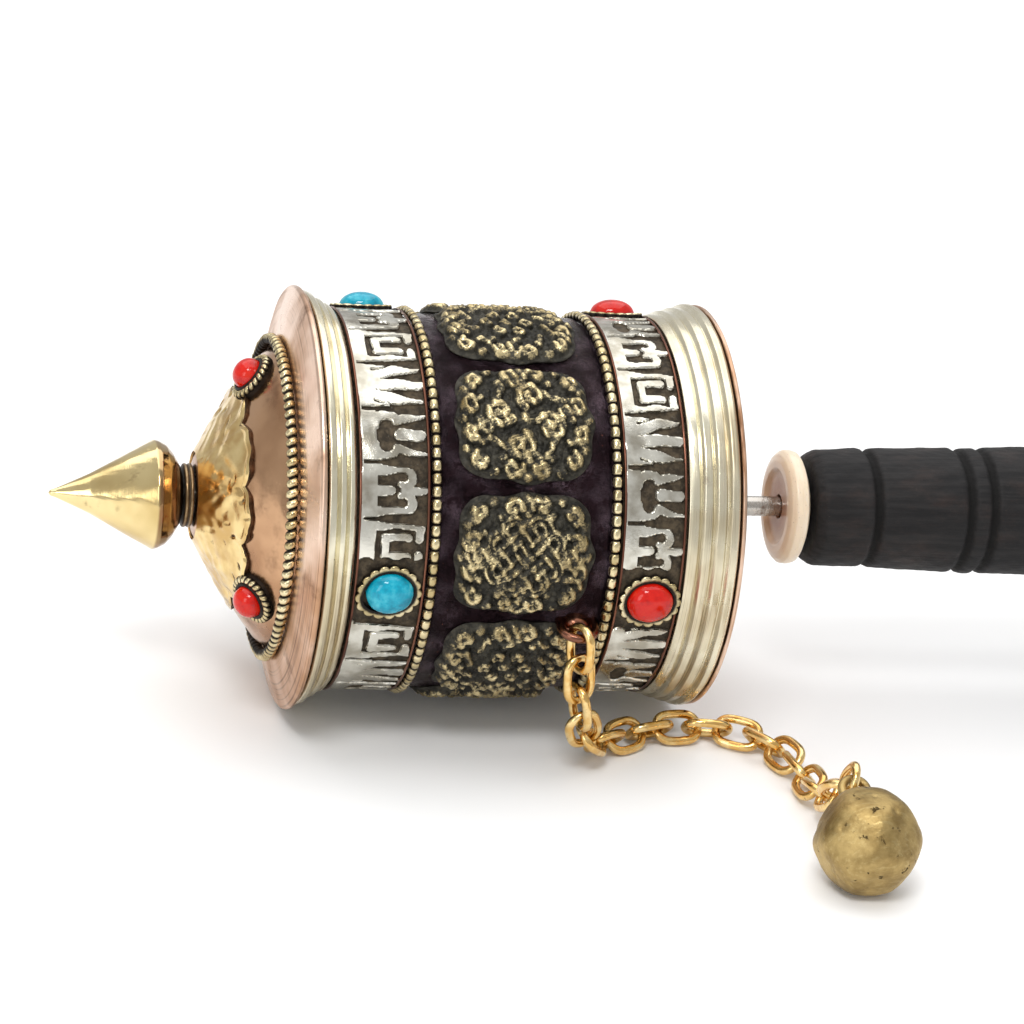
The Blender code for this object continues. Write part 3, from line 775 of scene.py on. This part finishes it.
def border_design(x, y):
    """Twelve rolled curls following the lobed edge, with lumps between each two."""
    strokes = []
    for i in range(12):
        turn = (i + 0.5) * pi / 6
        side, facing = (-1) ** i, np.degrees(turn)
        start = 1.30 if i % 3 else 1.56
        rolled = curl(on_plate(0.81, turn), start, 0.30, facing + side * 110, facing - side * 210)
        strokes.append((rolled, 0.80, 0.95))
        strokes += [(np.array([on_plate(share, turn + pi / 12)]), wide, 0.85)
                    for share, wide in ((0.66, 0.85), (0.90, 1.0))]
    return ridges(x, y, strokes)


def medallions(finish):
    """Chased plates bent round the drum.  The height of each place is the larger of its border's and
    its middle design's, and the plate's edge turns down to the shell."""
    share = np.linspace(0, 1, 84)[:, None] ** 0.92
    turn = turns(232)
    x, y = on_plate(share, turn)
    flat_x, flat_y = (np.concatenate([flat, flat[-1:] * 1.012, flat[-1:]]) for flat in (x, y))
    down = np.array([[0.25], [0.0]]) + 0 * turn
    fall = 1 - step_up(share, 0.88, 1.0) * 0.45
    border = border_design(x, y)
    heights = [np.maximum(border, design(x, y)) for design in (knot_design, flower_design, scroll_design)]
    nodes = sorted((node for node in frame["nodes"] if node.startswith("medallion_")),
                   key=lambda node: int(node.split("_")[1]))
    for i, node in enumerate(nodes):
        middle_along, middle_angle = seat_of(node)
        design = heights[i % 3]
        lumps = (0.20 * sin(2.3 * x + i) * sin(1.9 * y - 2 * i) + 0.12 * sin(4.1 * x - 2.3 * y + i)
                 + 0.10 * sin(5.3 * y + 4.9 * x) * sin(6.7 * y - i))
        ground = 0.30 * np.abs(sin(2.9 * x + 0.8 * y + i)) * np.abs(sin(2.7 * y - 0.9 * x + 2 * i))
        raised = np.clip(np.maximum(design, ground) * 0.95 + lumps * (0.40 + 0.60 * design), 0, 1)
        top = MEDALLION_THICK * (0.34 + 0.66 * raised) * fall + 0.16 * (1 - share ** 2)
        points = wheel(middle_along + flat_x, middle_angle + flat_y / SHELL_R,
                       MEDALLION_FOOT + np.concatenate([top, down]))
        Skin().add(points, np.concatenate([raised, 0.15 + 0 * down])).piece(
            f"chased_plate_{i + 1}", finish, node, sharp=60)


# ---- stones and their bezels ----

# Half section of a band stone's collar: how far out, how high, and how much of the teeth shows.
COLLAR_SECTION = [(0.80, -0.5, 0.9), (0.86, 0.00, 1.0), (0.84, 0.35, 1.0), (0.76, 0.58, 1.0),
                  (0.62, 0.66, 0.9), (0.44, 0.62, 0.7), (0.30, 0.58, 0.4), (0.20, 0.55, 0.1),
                  (0.10, 0.55, 0.0), (0.06, 0.40, 0.0), (0.08, -0.5, 0.0)]


def band_stone(node, finish, bezel_finish, pointed):
    """A cabochon in a toothed collar.  The stone's section is near a quarter ellipse, carried round
    its oval outline.  The collar's outline is the same oval, moved out by its section's own reach
    and by 0.46 |cos| ** 0.7 for the teeth; a pointed one is also drawn out to a tip at one side."""
    along, angle = seat_of(node)
    half_long, half_wide, tall, teeth = 3.6, 3.2, 2.7, 17

    def on_band(x, y, height):
        return wheel(along + x, angle + y / BAND_R, BAND_R + height)

    turn = turns(72)
    rise = np.linspace(0, pi / 2, 22)[:, None]
    lumps = 1 + 0.012 * sin(3 * turn + 1) + 0.008 * sin(7 * turn + rise * 3)
    out = lumps * sin(rise)
    x, y = half_long * out * cos(turn), half_wide * out * sin(turn)
    dome = on_band(x, y, tall * cos(rise) ** 0.8)
    base = on_band(x[-1:], y[-1:], -0.3)
    Skin().add(np.concatenate([dome, base])).piece(node + "_set", finish, node)

    turn = turns(teeth * 12)
    tooth = np.abs(cos(turn * teeth / 2)) ** 0.7
    point = 1 + (0.16 * np.maximum(cos(turn - 2.6), 0) ** 6 if pointed else 0)
    out, height, share = (column[:, None] for column in np.array(COLLAR_SECTION).T)
    out = out + 0.46 * tooth * share
    top = height > 0.5
    points = on_band((half_long * point + out) * cos(turn), (half_wide * point + out) * sin(turn),
                     height + 0.15 * share * (tooth - 0.75) * top)
    Skin().add(points, np.where(top, share * (0.55 + 0.45 * tooth), 0.1), ring=True).piece(
        node + "_bezel", bezel_finish, node, stands_for=False, sharp=60)


def plane_of(node):
    """Middle, and the three directions of a CAD node from its longest to its thinnest, with its
    extent along each: the principal axes of its corner points."""
    mesh = frame["nodes"][node].data
    points = np.empty(len(mesh.vertices) * 3, np.float32)
    mesh.vertices.foreach_get("co", points)
    points = np.unique(np.round(points.reshape(-1, 3).astype(float), 6), axis=0)
    middle = points.mean(0)
    _, _, axes = np.linalg.svd(points - middle, full_matrices=False)
    spread = (points - middle) @ axes.T
    middle = middle + ((spread.max(0) + spread.min(0)) / 2) @ axes
    return middle, axes, np.ptp(spread, axis=0)


def dome_stone(node, finish, bezel_finish, number):
    """A round cabochon on the dome, in a beaded wire, a thinner plain one and a low collar.  It is
    laid out along the dome's outward normal and two directions square to it."""
    angle = angle_of(node)
    out = unit(wheel(0, angle, 1.0) - wheel(0, angle, 0.0))
    normal = DOME_NORMAL[0] * np.array([1.0, 0, 0]) + DOME_NORMAL[1] * out
    across = np.cross([1.0, 0, 0], out)
    third = np.cross(normal, across)
    seat = wheel(DOME_SEAT[0] + 0.9 * DOME_NORMAL[0], angle, DOME_SEAT[1] + 0.9 * DOME_NORMAL[1])

    def laid(x, y, height):
        x, y, height = np.broadcast_arrays(x, y, height)
        return seat + MM * (x[..., None] * across + y[..., None] * third + height[..., None] * normal)

    turn = turns(64)
    rise = np.linspace(0, pi / 2, 18)[:, None]
    wide = 2.55 * sin(rise)
    dome = laid(wide * cos(turn), wide * sin(turn), 2.7 * cos(rise) ** 0.80)
    foot = laid(2.4 * cos(turn), 2.4 * sin(turn), -1.4)
    Skin().add(np.concatenate([dome, foot])).piece(f"dome_cabochon_{number}", finish, node)
    skin = Skin()
    section, turn = turns(12).T, turns(264)
    for radius, height, wire, beads in ((3.40, -0.25, 0.66, 24), (2.80, 0.20, 0.34, 0)):
        share = (turn * beads / tau + 0.22 * cos(section + 0.6)) % 1
        swell = 1 - (0.42 * np.abs(2 * share - 1) ** 3 if beads else 0)
        around = radius + wire * swell * cos(section)
        rubbed = np.clip((swell - 0.58) / 0.42, 0, 1) * (0.55 + 0.45 * sin(section)) if beads else 0.25
        points = laid(around * cos(turn), around * sin(turn), height + wire * swell * sin(section))
        skin.add(points, rubbed, ring=True)
    collar = laid(4.05 * cos(turn), 4.05 * sin(turn), np.array([[-0.55], [-1.5]]))
    inner = laid(2.5 * cos(turn), 2.5 * sin(turn), np.array([[-1.5], [-0.45]]))
    skin.add(np.concatenate([collar, inner]), 0.2, ring=True)
    skin.piece(f"dome_bezel_{number}", bezel_finish, node, stands_for=False)


# ---- lid ----

DOME_LINE = outline([(-34.4, 23.7), (-36.4, 22.3), (-39.2, 18.6), (-42.3, 13.6), (-45.0, 8.9),
                     (-46.7, 6.0), (-46.9, 4.2), (-46.8, BORE_R)], 0.9, ring=False, step=0.15)


def dome_at(radius):
    """Length along the axis and outward normal of the dome's outer side at a radius."""
    line = DOME_LINE[np.argsort(DOME_LINE[:, 1])]
    along = np.interp(radius, line[:, 1], line[:, 0])
    slopes = np.gradient(line[:, 0], line[:, 1] + 1e-6 * np.arange(len(line)))
    slope = np.interp(radius, line[:, 1], slopes)
    length = np.sqrt(1 + slope ** 2)
    return along, -1 / length, slope / length


DOME_STONE_R = 19.4
DOME_SEAT = (float(dome_at(DOME_STONE_R)[0]), DOME_STONE_R)
DOME_NORMAL = tuple(float(value) for value in dome_at(DOME_STONE_R)[1:])


def dome(finish):
    """Spun dome, closed behind by a face about a millimetre under it."""
    inner = [(-46.0, BORE_R)] + [(along + 0.8, radius - 0.8) for along, radius in DOME_LINE[::-12][1:-1]]
    line = [tuple(point) for point in DOME_LINE[::3]] + inner
    turned("spun_dome", finish, "lid_dome", line, 0.25, step=0.3, uneven=1.8)


def brim(finish):
    """Shallow cone that closes the lid, its edge rolled."""
    corners = [(-31.4, 24.6), (-31.4, 32.6), (-31.6, 32.95), (-32.1, 33.0), (-32.4, 32.7), (-33.0, 30.6),
               (-33.7, 28.2), (-34.25, 25.6), (-34.4, 23.0), (-34.0, 21.2), (-33.4, 21.2)]
    turned("spun_brim", finish, "lid_plate", corners, 0.25, step=0.2, uneven=1.5, columns=288)


def lotus(finish):
    """Petal plate round the dome's crown.  Nine uneven lobes: the edge is 0.905 + 0.095 |cos| ** 0.7,
    each lobe is dished inside a raised edge, and hammered dents run over it.  A thin dark line along
    the outline is painted shadow."""
    lobes, inner, outer = 9, 6.6, 17.5
    turn = turns(528)
    share = np.linspace(0, 1, 56)[:, None]
    swayed = turn + 0.09 * sin(2 * turn + 1.0) + 0.05 * sin(5 * turn)
    across = np.abs(cos(lobes * swayed / 2 + 0.7))
    edge = outer * (0.905 + 0.095 * across ** 0.7 + 0.008 * sin(9 * turn)
                    + 0.006 * sin(31 * turn + 1))
    radius = inner + (edge - inner) * share
    seam = np.abs(sin(lobes * swayed / 2 + 0.7))
    rim = np.exp(-((share - 0.955) / 0.035) ** 2)
    valley = step_up(seam, 0.90, 1.0) * step_up(share, 0.25, 0.8)
    curls = sin(7 * share * pi + 4 * across) * sin(lobes * turn * 2 + 1.0) * sin(pi * share)
    dents = (0.10 * sin(4 * turn + 9 * share) * sin(7 * turn - 5 * share)
             + 0.06 * sin(19 * turn + 14 * share))
    pitted = sin(13 * turn + 4 * sin(3 * turn)) * sin(15 * share + 3 * sin(5 * turn + 1))
    pits = step_up(pitted, 0.72, 1.0) * step_up(share, 0.45, 0.75)
    height = 0.50 + 0.16 * rim - 0.14 * valley + 0.08 * curls + dents * share * 1.5 - 0.25 * pits
    raised = np.clip(0.66 + 0.3 * rim + 0.25 * curls - 0.35 * valley * rim - 0.5 * pits + dents, 0, 1)
    # Painted shadow: the share drops to the dark ground in a thin line along the plate's outline.
    raised = raised * (1 - step_up(share, 0.982, 0.995))
    along, normal_along, normal_out = dome_at(radius)
    top = wheel(along + normal_along * height, turn, radius + normal_out * height)
    under = wheel(along[::-9], turn, radius[::-9])
    Skin().add(np.concatenate([top, under]), np.concatenate([raised, 0 * radius[::-9]]), ring=True).piece(
        "lotus_petals", finish, "lotus_plate", sharp=60)


# ---- mouldings, finial and wires ----

def mouldings(metal):
    """Ribbed nickel-silver rings at both ends of the drum: beads and quirks on a flaring section."""
    low, high = ends_of("lid_moulding")
    corners = measured(high, (0, 28.6), (0, 29.75), (0.5, 30.25), (1.0, 30.3), (1.25, 29.95),
                       (1.5, 30.35), (1.8, 31.05), (2.5, 31.2), (2.8, 30.85), (3.05, 31.3), (3.4, 32.05))
    corners += measured(low, (-0.35, 32.3), (-0.1, 32.1), (0, 31.9), (0, 28.6))
    turned("lid_ribs", metal, "lid_moulding", corners, 0.16, step=0.11, uneven=1.6, columns=288)
    low, high = ends_of("base_moulding")
    corners = measured(high, (0, 28.6), (0, 31.7), (0.4, 32.0), (1.3, 31.95), (1.6, 31.5), (1.85, 31.15),
                       (2.1, 31.4), (3.3, 31.35), (3.6, 30.95), (3.85, 30.6), (4.1, 30.85), (5.2, 30.8),
                       (5.5, 30.4), (5.75, 30.0), (6.0, 30.25), (6.9, 30.15))
    corners += [(low, 29.9), (low, 28.6)]
    turned("base_ribs", metal, "base_moulding", corners, 0.16, step=0.11, uneven=1.6, columns=288)


def foot(edge_metal):
    """Plate that closes the drum's foot, and the bone bush that the axle runs in."""
    low, high = ends_of("base_plate")
    corners = measured(high, (0, 2.2), (0.15, 14), (0, 24), (0, 31.6), (0.3, 32.0))
    corners += [(low, 31.8), (low, 2.2)]
    turned("foot_plate", edge_metal, "base_plate", corners, 0.2, step=0.3, uneven=1.2)
    low, high = ends_of("base_bush")
    corners = measured(high, (0, 1.95), (0, 2.5), (0.2, 2.7)) + [(low, 2.7), (low, 1.95)]
    turned("foot_bush", bone(), "base_bush", corners, 0.12, step=0.08, uneven=0, columns=64,
           raised=lambda along, radius: 0.2 + 0 * radius)


def finial(brass, bronze):
    """Pointed nut with a round-edged foot, and the ringed collar under it."""
    low, high = ends_of("finial_spike")
    corners = measured(high, (0, 0), (0, 4.3), (0.5, 5.3), (1.3, 6.6), (2.3, 7.7), (3.5, 8.35),
                       (4.2, 8.5), (4.45, 8.35), (9.0, 5.85), (14.0, 3.05))
    corners += measured(low, (-1.2, 0.75), (-0.25, 0.42), (0, 0))
    turned("polished_spike", brass, "finial_spike", corners, 0.2, ring=False, step=0.1, columns=160,
           raised=lambda along, radius: step_up(along, high - 4.35, high - 3.9))
    low, high = ends_of("finial_collar")
    corners = measured(high, (0, 1.95), (0, 4.8), (0.2, 5.0), (0.45, 5.0), (0.6, 4.8), (0.8, 4.78),
                       (0.95, 4.97))
    corners += measured(low, (-0.15, 4.97), (0, 4.75), (0, 1.95))
    turned("ringed_collar", bronze, "finial_collar", corners, 0.1, step=0.06, uneven=0.5, columns=128,
           raised=lambda along, radius: 0.3 + 0.4 * step_up(radius, 4.75, 4.97))


# ---- chain and weight ----

WIRE = 1.4      # thickness of the wire that the eye and the weight's loop are bent from


def eye(finish):
    """Wire staple in the shell, with the little boss that it is soldered to."""
    along, angle = 8.8, radians(15.5)
    across, out = staple(half=2.6, foot=SHELL_R - 0.4, bend=31.1, leg=16, arch=40)
    up = wheel(0, angle + pi / 2, 1) - wheel(0, 0, 0)
    Skin().add(carried(wheel(along + across, angle, out), WIRE * MM, up), 0.5).piece(
        "wire_eye", finish, "chain_eye")
    turn = turns(60)
    rows = np.array([(1.2, 2.6), (1.7, 2.2), (2.0, 1.2), (2.15, 0.4), (2.3, 0.0), (2.2, -0.4)])
    shape = rows[:, :1] * (1 + 0.05 * sin(3 * turn + 0.5) + 0.03 * sin(5 * turn))
    x, y = -0.1 + shape * cos(turn), 0.6 * shape * sin(turn)
    Skin().add(wheel(along + x, angle + y / SHELL_R, SHELL_R + 0.75 * rows[:, 1:] + 0 * turn), 0.3).piece(
        "eye_boss", finish, "chain_eye", stands_for=False)


def links(finish):
    """Oval links: a wire ring along two half circles and two straight runs, each with its own slight
    stretch and a flat worn where it bears on its neighbours."""
    for node in sorted(name for name in frame["nodes"] if name.startswith("chain_link_")):
        number = int(node[-2:])
        middle, (ahead, side, thin), (long, wide, wire) = plane_of(node)
        half = (wide - wire) / 2
        straight = (long - wire) / 2 - half
        turn = turns(64)[0]
        x = half * cos(turn) + straight * np.tanh(3.5 * cos(turn))
        y = half * sin(turn) * (1 - 0.04 * sin(number * 2.1) * cos(2 * turn))
        centre = middle + x[:, None] * ahead + y[:, None] * side
        across = np.cross(unit(np.roll(centre, -1, 0) - np.roll(centre, 1, 0)), thin)
        section = turns(16)[..., None]
        size = (wire / 2 * (1 - 0.10 * np.abs(cos(turn)) ** 10))[:, None, None]
        points = centre[:, None] + size * (cos(section) * across[:, None] + sin(section) * thin)
        Skin().add(points, 0.5, ring=True).piece(f"wire_link_{number:02d}", finish, node)


TILT = acos(1 / sqrt(5))      # between an upright face of the weight and its neighbours


def face_directions():
    """Unit vectors to the twelve faces of a regular solid that stands on one of them."""
    ring = np.radians(72 * np.arange(5))
    up = np.stack([sin(ring) * sin(TILT), cos(ring) * sin(TILT), np.full(5, cos(TILT))], 1)
    return np.vstack([[[0, 0, 1], [0, 0, -1]], up, -up])


def weight(finish):
    """Cast twelve-sided weight.  Its surface lies at (sum of (direction . face) ** p) ** (-1 / p)
    times the face's distance, which gives flat faces and rounded edges; shallow dents are taken off."""
    low, high = cad_box("weight_ball")
    middle, face = (low + high) / 2, (high[2] - low[2]) / 2
    turn = turns(220)
    rise = np.linspace(0.0, pi, 130)[:, None]
    out = np.stack(np.broadcast_arrays(sin(rise) * cos(turn), sin(rise) * sin(turn),
                                       cos(rise)), -1)
    uneven = 1 + 0.035 * (0.5 + 0.5 * sin(np.arange(12) * 2.4))
    towards = np.maximum(out @ face_directions().T, 0) * uneven
    power = 8
    size = (towards ** power).sum(-1) ** (-1 / power)
    dents = np.zeros(size.shape)
    spots = face_directions() @ np.array([[0.8, 0.6, 0], [-0.6, 0.8, 0], [0, 0, 1.0]])
    spots = np.vstack([spots, spots[:, [1, 2, 0]]])
    for spot, wide in zip(spots, np.tile((0.06, 0.10, 0.04, 0.08), 6)):
        gap = np.linalg.norm(out - unit(spot), axis=-1)
        dents += 0.040 * wide / 0.06 * np.exp(-(gap / wide) ** 2)
    rough = 0.004 * sin(9 * out[..., 0] + 5 * out[..., 2]) * sin(11 * out[..., 1] - 4 * out[..., 0])
    shown = np.minimum(face * (size - 0.5 * dents - np.abs(rough)), face * size)
    edge = np.sort(towards, -1)
    raised = 0.5 * step_up(edge[..., -2] / edge[..., -1], 0.80, 1.0)
    Skin().add(middle + shown[..., None] * out, raised).piece(
        "cast_weight", finish, "weight_ball", sharp=60)

    sideways, away = np.array([1.0, 0, 0]), np.array([0, sin(TILT), cos(TILT)])
    side, reach_out = staple(half=1.9, foot=7.2, bend=9.3, leg=14, arch=32)
    path = middle + MM * (side[:, None] * sideways + reach_out[:, None] * away)
    Skin().add(carried(path, WIRE * MM, up=np.cross(away, sideways)), 0.4).piece(
        "weight_wire_loop", finish, "weight_loop")


# ---- the whole wheel ----

frieze_metal = relief_metal("nickel_silver_frieze", (0.74, 0.72, 0.64), (0.40, 0.37, 0.30),
                            (0.060, 0.045, 0.028), rough=(0.22, 0.60), grain=0.7)
moulding_metal = worn_metal("nickel_silver_ribs", (0.84, 0.79, 0.62), (0.58, 0.50, 0.34),
                            (0.18, 0.11, 0.06), rough=(0.20, 0.36), marks=0.8, stained=0.5,
                            fineness=4000, streaks=0.65)
copper = worn_metal("burnished_copper", (0.58, 0.35, 0.20), (0.34, 0.18, 0.095), (0.12, 0.055, 0.028),
                    rough=(0.14, 0.30), marks=0.3, stained=0.80, fineness=1800)
rim_copper = worn_metal("streaked_copper", (0.82, 0.61, 0.48), (0.50, 0.29, 0.17), (0.12, 0.055, 0.030),
                        rough=(0.26, 0.44), marks=0.6, stained=0.75, fineness=2600, streaks=0.8)
finial_brass = worn_metal("polished_brass", (0.82, 0.66, 0.34), (0.54, 0.39, 0.16), (0.14, 0.07, 0.03),
                          rough=(0.08, 0.22), marks=0.3, stained=0.45, fineness=3500,
                          back=(0.24, 0.115, 0.055))
lotus_brass = relief_metal("petal_brass", (0.80, 0.61, 0.29), (0.58, 0.38, 0.15), (0.08, 0.040, 0.020),
                           rough=(0.16, 0.45), low=0.12, high=0.42, grain=0.35)
medallion_metal = relief_metal("chased_gilt", (0.74, 0.61, 0.34), (0.36, 0.28, 0.14),
                               (0.036, 0.033, 0.025), rough=(0.26, 0.55), low=0.58, high=0.98, grain=1.6)
bead_metal = relief_metal("beaded_brass", (0.76, 0.65, 0.40), (0.46, 0.36, 0.18), (0.014, 0.009, 0.006),
                          rough=(0.22, 0.5), low=0.38, high=0.82, grain=0.6)
bezel_metal = relief_metal("bezel_silver", (0.80, 0.70, 0.46), (0.42, 0.34, 0.18), (0.014, 0.010, 0.007),
                           rough=(0.24, 0.5), low=0.30, high=0.7, grain=0.4)
collar_bronze = relief_metal("collar_bronze", (0.40, 0.28, 0.15), (0.22, 0.14, 0.07),
                             (0.016, 0.010, 0.007), rough=(0.24, 0.5), low=0.2, high=0.9, grain=0.4)
eye_metal = worn_metal("eye_copper", (0.22, 0.095, 0.060), (0.11, 0.045, 0.030), (0.020, 0.011, 0.009),
                       rough=(0.22, 0.40), marks=0.2, stained=0.6, fineness=1500)
coral_stone = polished_stone("coral", (0.58, 0.009, 0.004), (0.62, 0.022, 0.008), (0.34, 0.003, 0.002),
                             (0.36, 0.020, 0.010))
turquoise_stone = polished_stone("turquoise", (0.004, 0.34, 0.48), (0.09, 0.54, 0.62), (0.0, 0.16, 0.25),
                                 (0.04, 0.045, 0.03))

handle()
axle()
washer()
shell()
BANDS = ("upper_band", "lower_band")
NUMBERS = (1, 2, 3)
frieze("upper_frieze", frieze_metal, BANDS[0], [f"turquoise_stone_{number}" for number in NUMBERS], 0)
frieze("lower_frieze", frieze_metal, BANDS[1], [f"coral_stone_{number}" for number in NUMBERS], 9)
for node in BANDS:
    low, high = ends_of(node)
    for number, along in ((1, low + 0.25), (2, high - 0.25)):
        thin_ring(f"{node}_rim_{number}", eye_metal, node, along, radius=BAND_R + 0.02, wire=0.2)
beaded("upper_beads", bead_metal, "upper_bead_wire", along=-14.4, radius=29.55, wire=0.80, beads=96,
       per_bead=14, squareness=3.2, depth=0.58, spread=0.95)
beaded("lower_beads", bead_metal, "lower_bead_wire", along=13.3, radius=29.55, wire=0.78, beads=96,
       per_bead=14, squareness=3.6, depth=0.55, spread=0.95)
beaded("rope_beads", bead_metal, "dome_rope_ring", along=-35.3, radius=24.6, wire=0.92, beads=100,
       per_bead=12, squareness=2.2, depth=0.55, lean=0.14)
mouldings(moulding_metal)
foot(rim_copper)
medallions(medallion_metal)
for number in NUMBERS:
    band_stone(f"turquoise_stone_{number}", turquoise_stone, bezel_metal, pointed=True)
    band_stone(f"coral_stone_{number}", coral_stone, bezel_metal, pointed=False)
    dome_stone(f"dome_coral_{number}", coral_stone, bead_metal, number)
dome(copper)
brim(rim_copper)
lotus(lotus_brass)
finial(finial_brass, collar_bronze)
eye(eye_metal)
links(chain_gold())
weight(weight_brass())
for node, finish in (("mantra_scroll", prayer_paper()), ("core_tube", eye_metal)):
    frame["nodes"][node].data.materials.clear()
    frame["nodes"][node].data.materials.append(finish)


# ---- floor, light and camera ----

def floor():
    """Pale floor, large enough to fill the view from any side."""
    far = 3.0
    mesh = bpy.data.meshes.new("floor")
    mesh.from_pydata([(-far, -far, 0), (far, -far, 0), (far, far, 0), (-far, far, 0)], [], [(0, 1, 2, 3)])
    mesh.materials.append(floor_white())
    added("floor", mesh)


def facing(place, target):
    """Matrix of a light or camera at a place, turned so that its -Z looks at the target."""
    towards = (Vector(target) - Vector(place)).to_track_quat("-Z", "Y").to_matrix().to_4x4()
    return Matrix.Translation(place) @ towards


def soft_light(name, place, size, power):
    """Rectangular area light that looks at the middle of the wheel."""
    light = bpy.data.lights.new(name, "AREA")
    light.shape = "RECTANGLE"
    light.size, light.size_y = size
    light.energy = power
    added(name, light).matrix_world = facing(place, (Vector(CAD_BOX[0]) + Vector(CAD_BOX[1])) / 2)


floor()
world = bpy.data.worlds.new("studio")
world.use_nodes = True
world.node_tree.nodes["Background"].inputs["Color"].default_value = (1, 1, 1, 1)
world.node_tree.nodes["Background"].inputs["Strength"].default_value = 0.62
bpy.context.scene.world = world
bpy.context.scene.view_settings.view_transform = "Standard"
soft_light("overhead", (0.0, 0.45, 1.3), (2.0, 1.8), 16)
soft_light("key", (-0.22, -0.38, 0.62), (0.24, 0.16), 2.0)
soft_light("front_left", (-0.75, -0.65, 0.35), (0.30, 0.45), 1.2)

CAMERA_FROM = Vector((DRUM_X - 0.11909, AXIS[1] - 0.48428, 0.22952))
CAMERA_TO = Vector((DRUM_X + 0.00416, AXIS[1], 0.03118))
CAMERA_ROLL = radians(6.41)
camera_data = bpy.data.cameras.new("camera")
camera_data.lens = 119.46
camera_data.sensor_width = 36
camera_data.clip_start = 0.01
camera = added("camera", camera_data)
camera.matrix_world = facing(CAMERA_FROM, CAMERA_TO) @ Matrix.Rotation(CAMERA_ROLL, 4, "Z")
bpy.context.scene.camera = camera
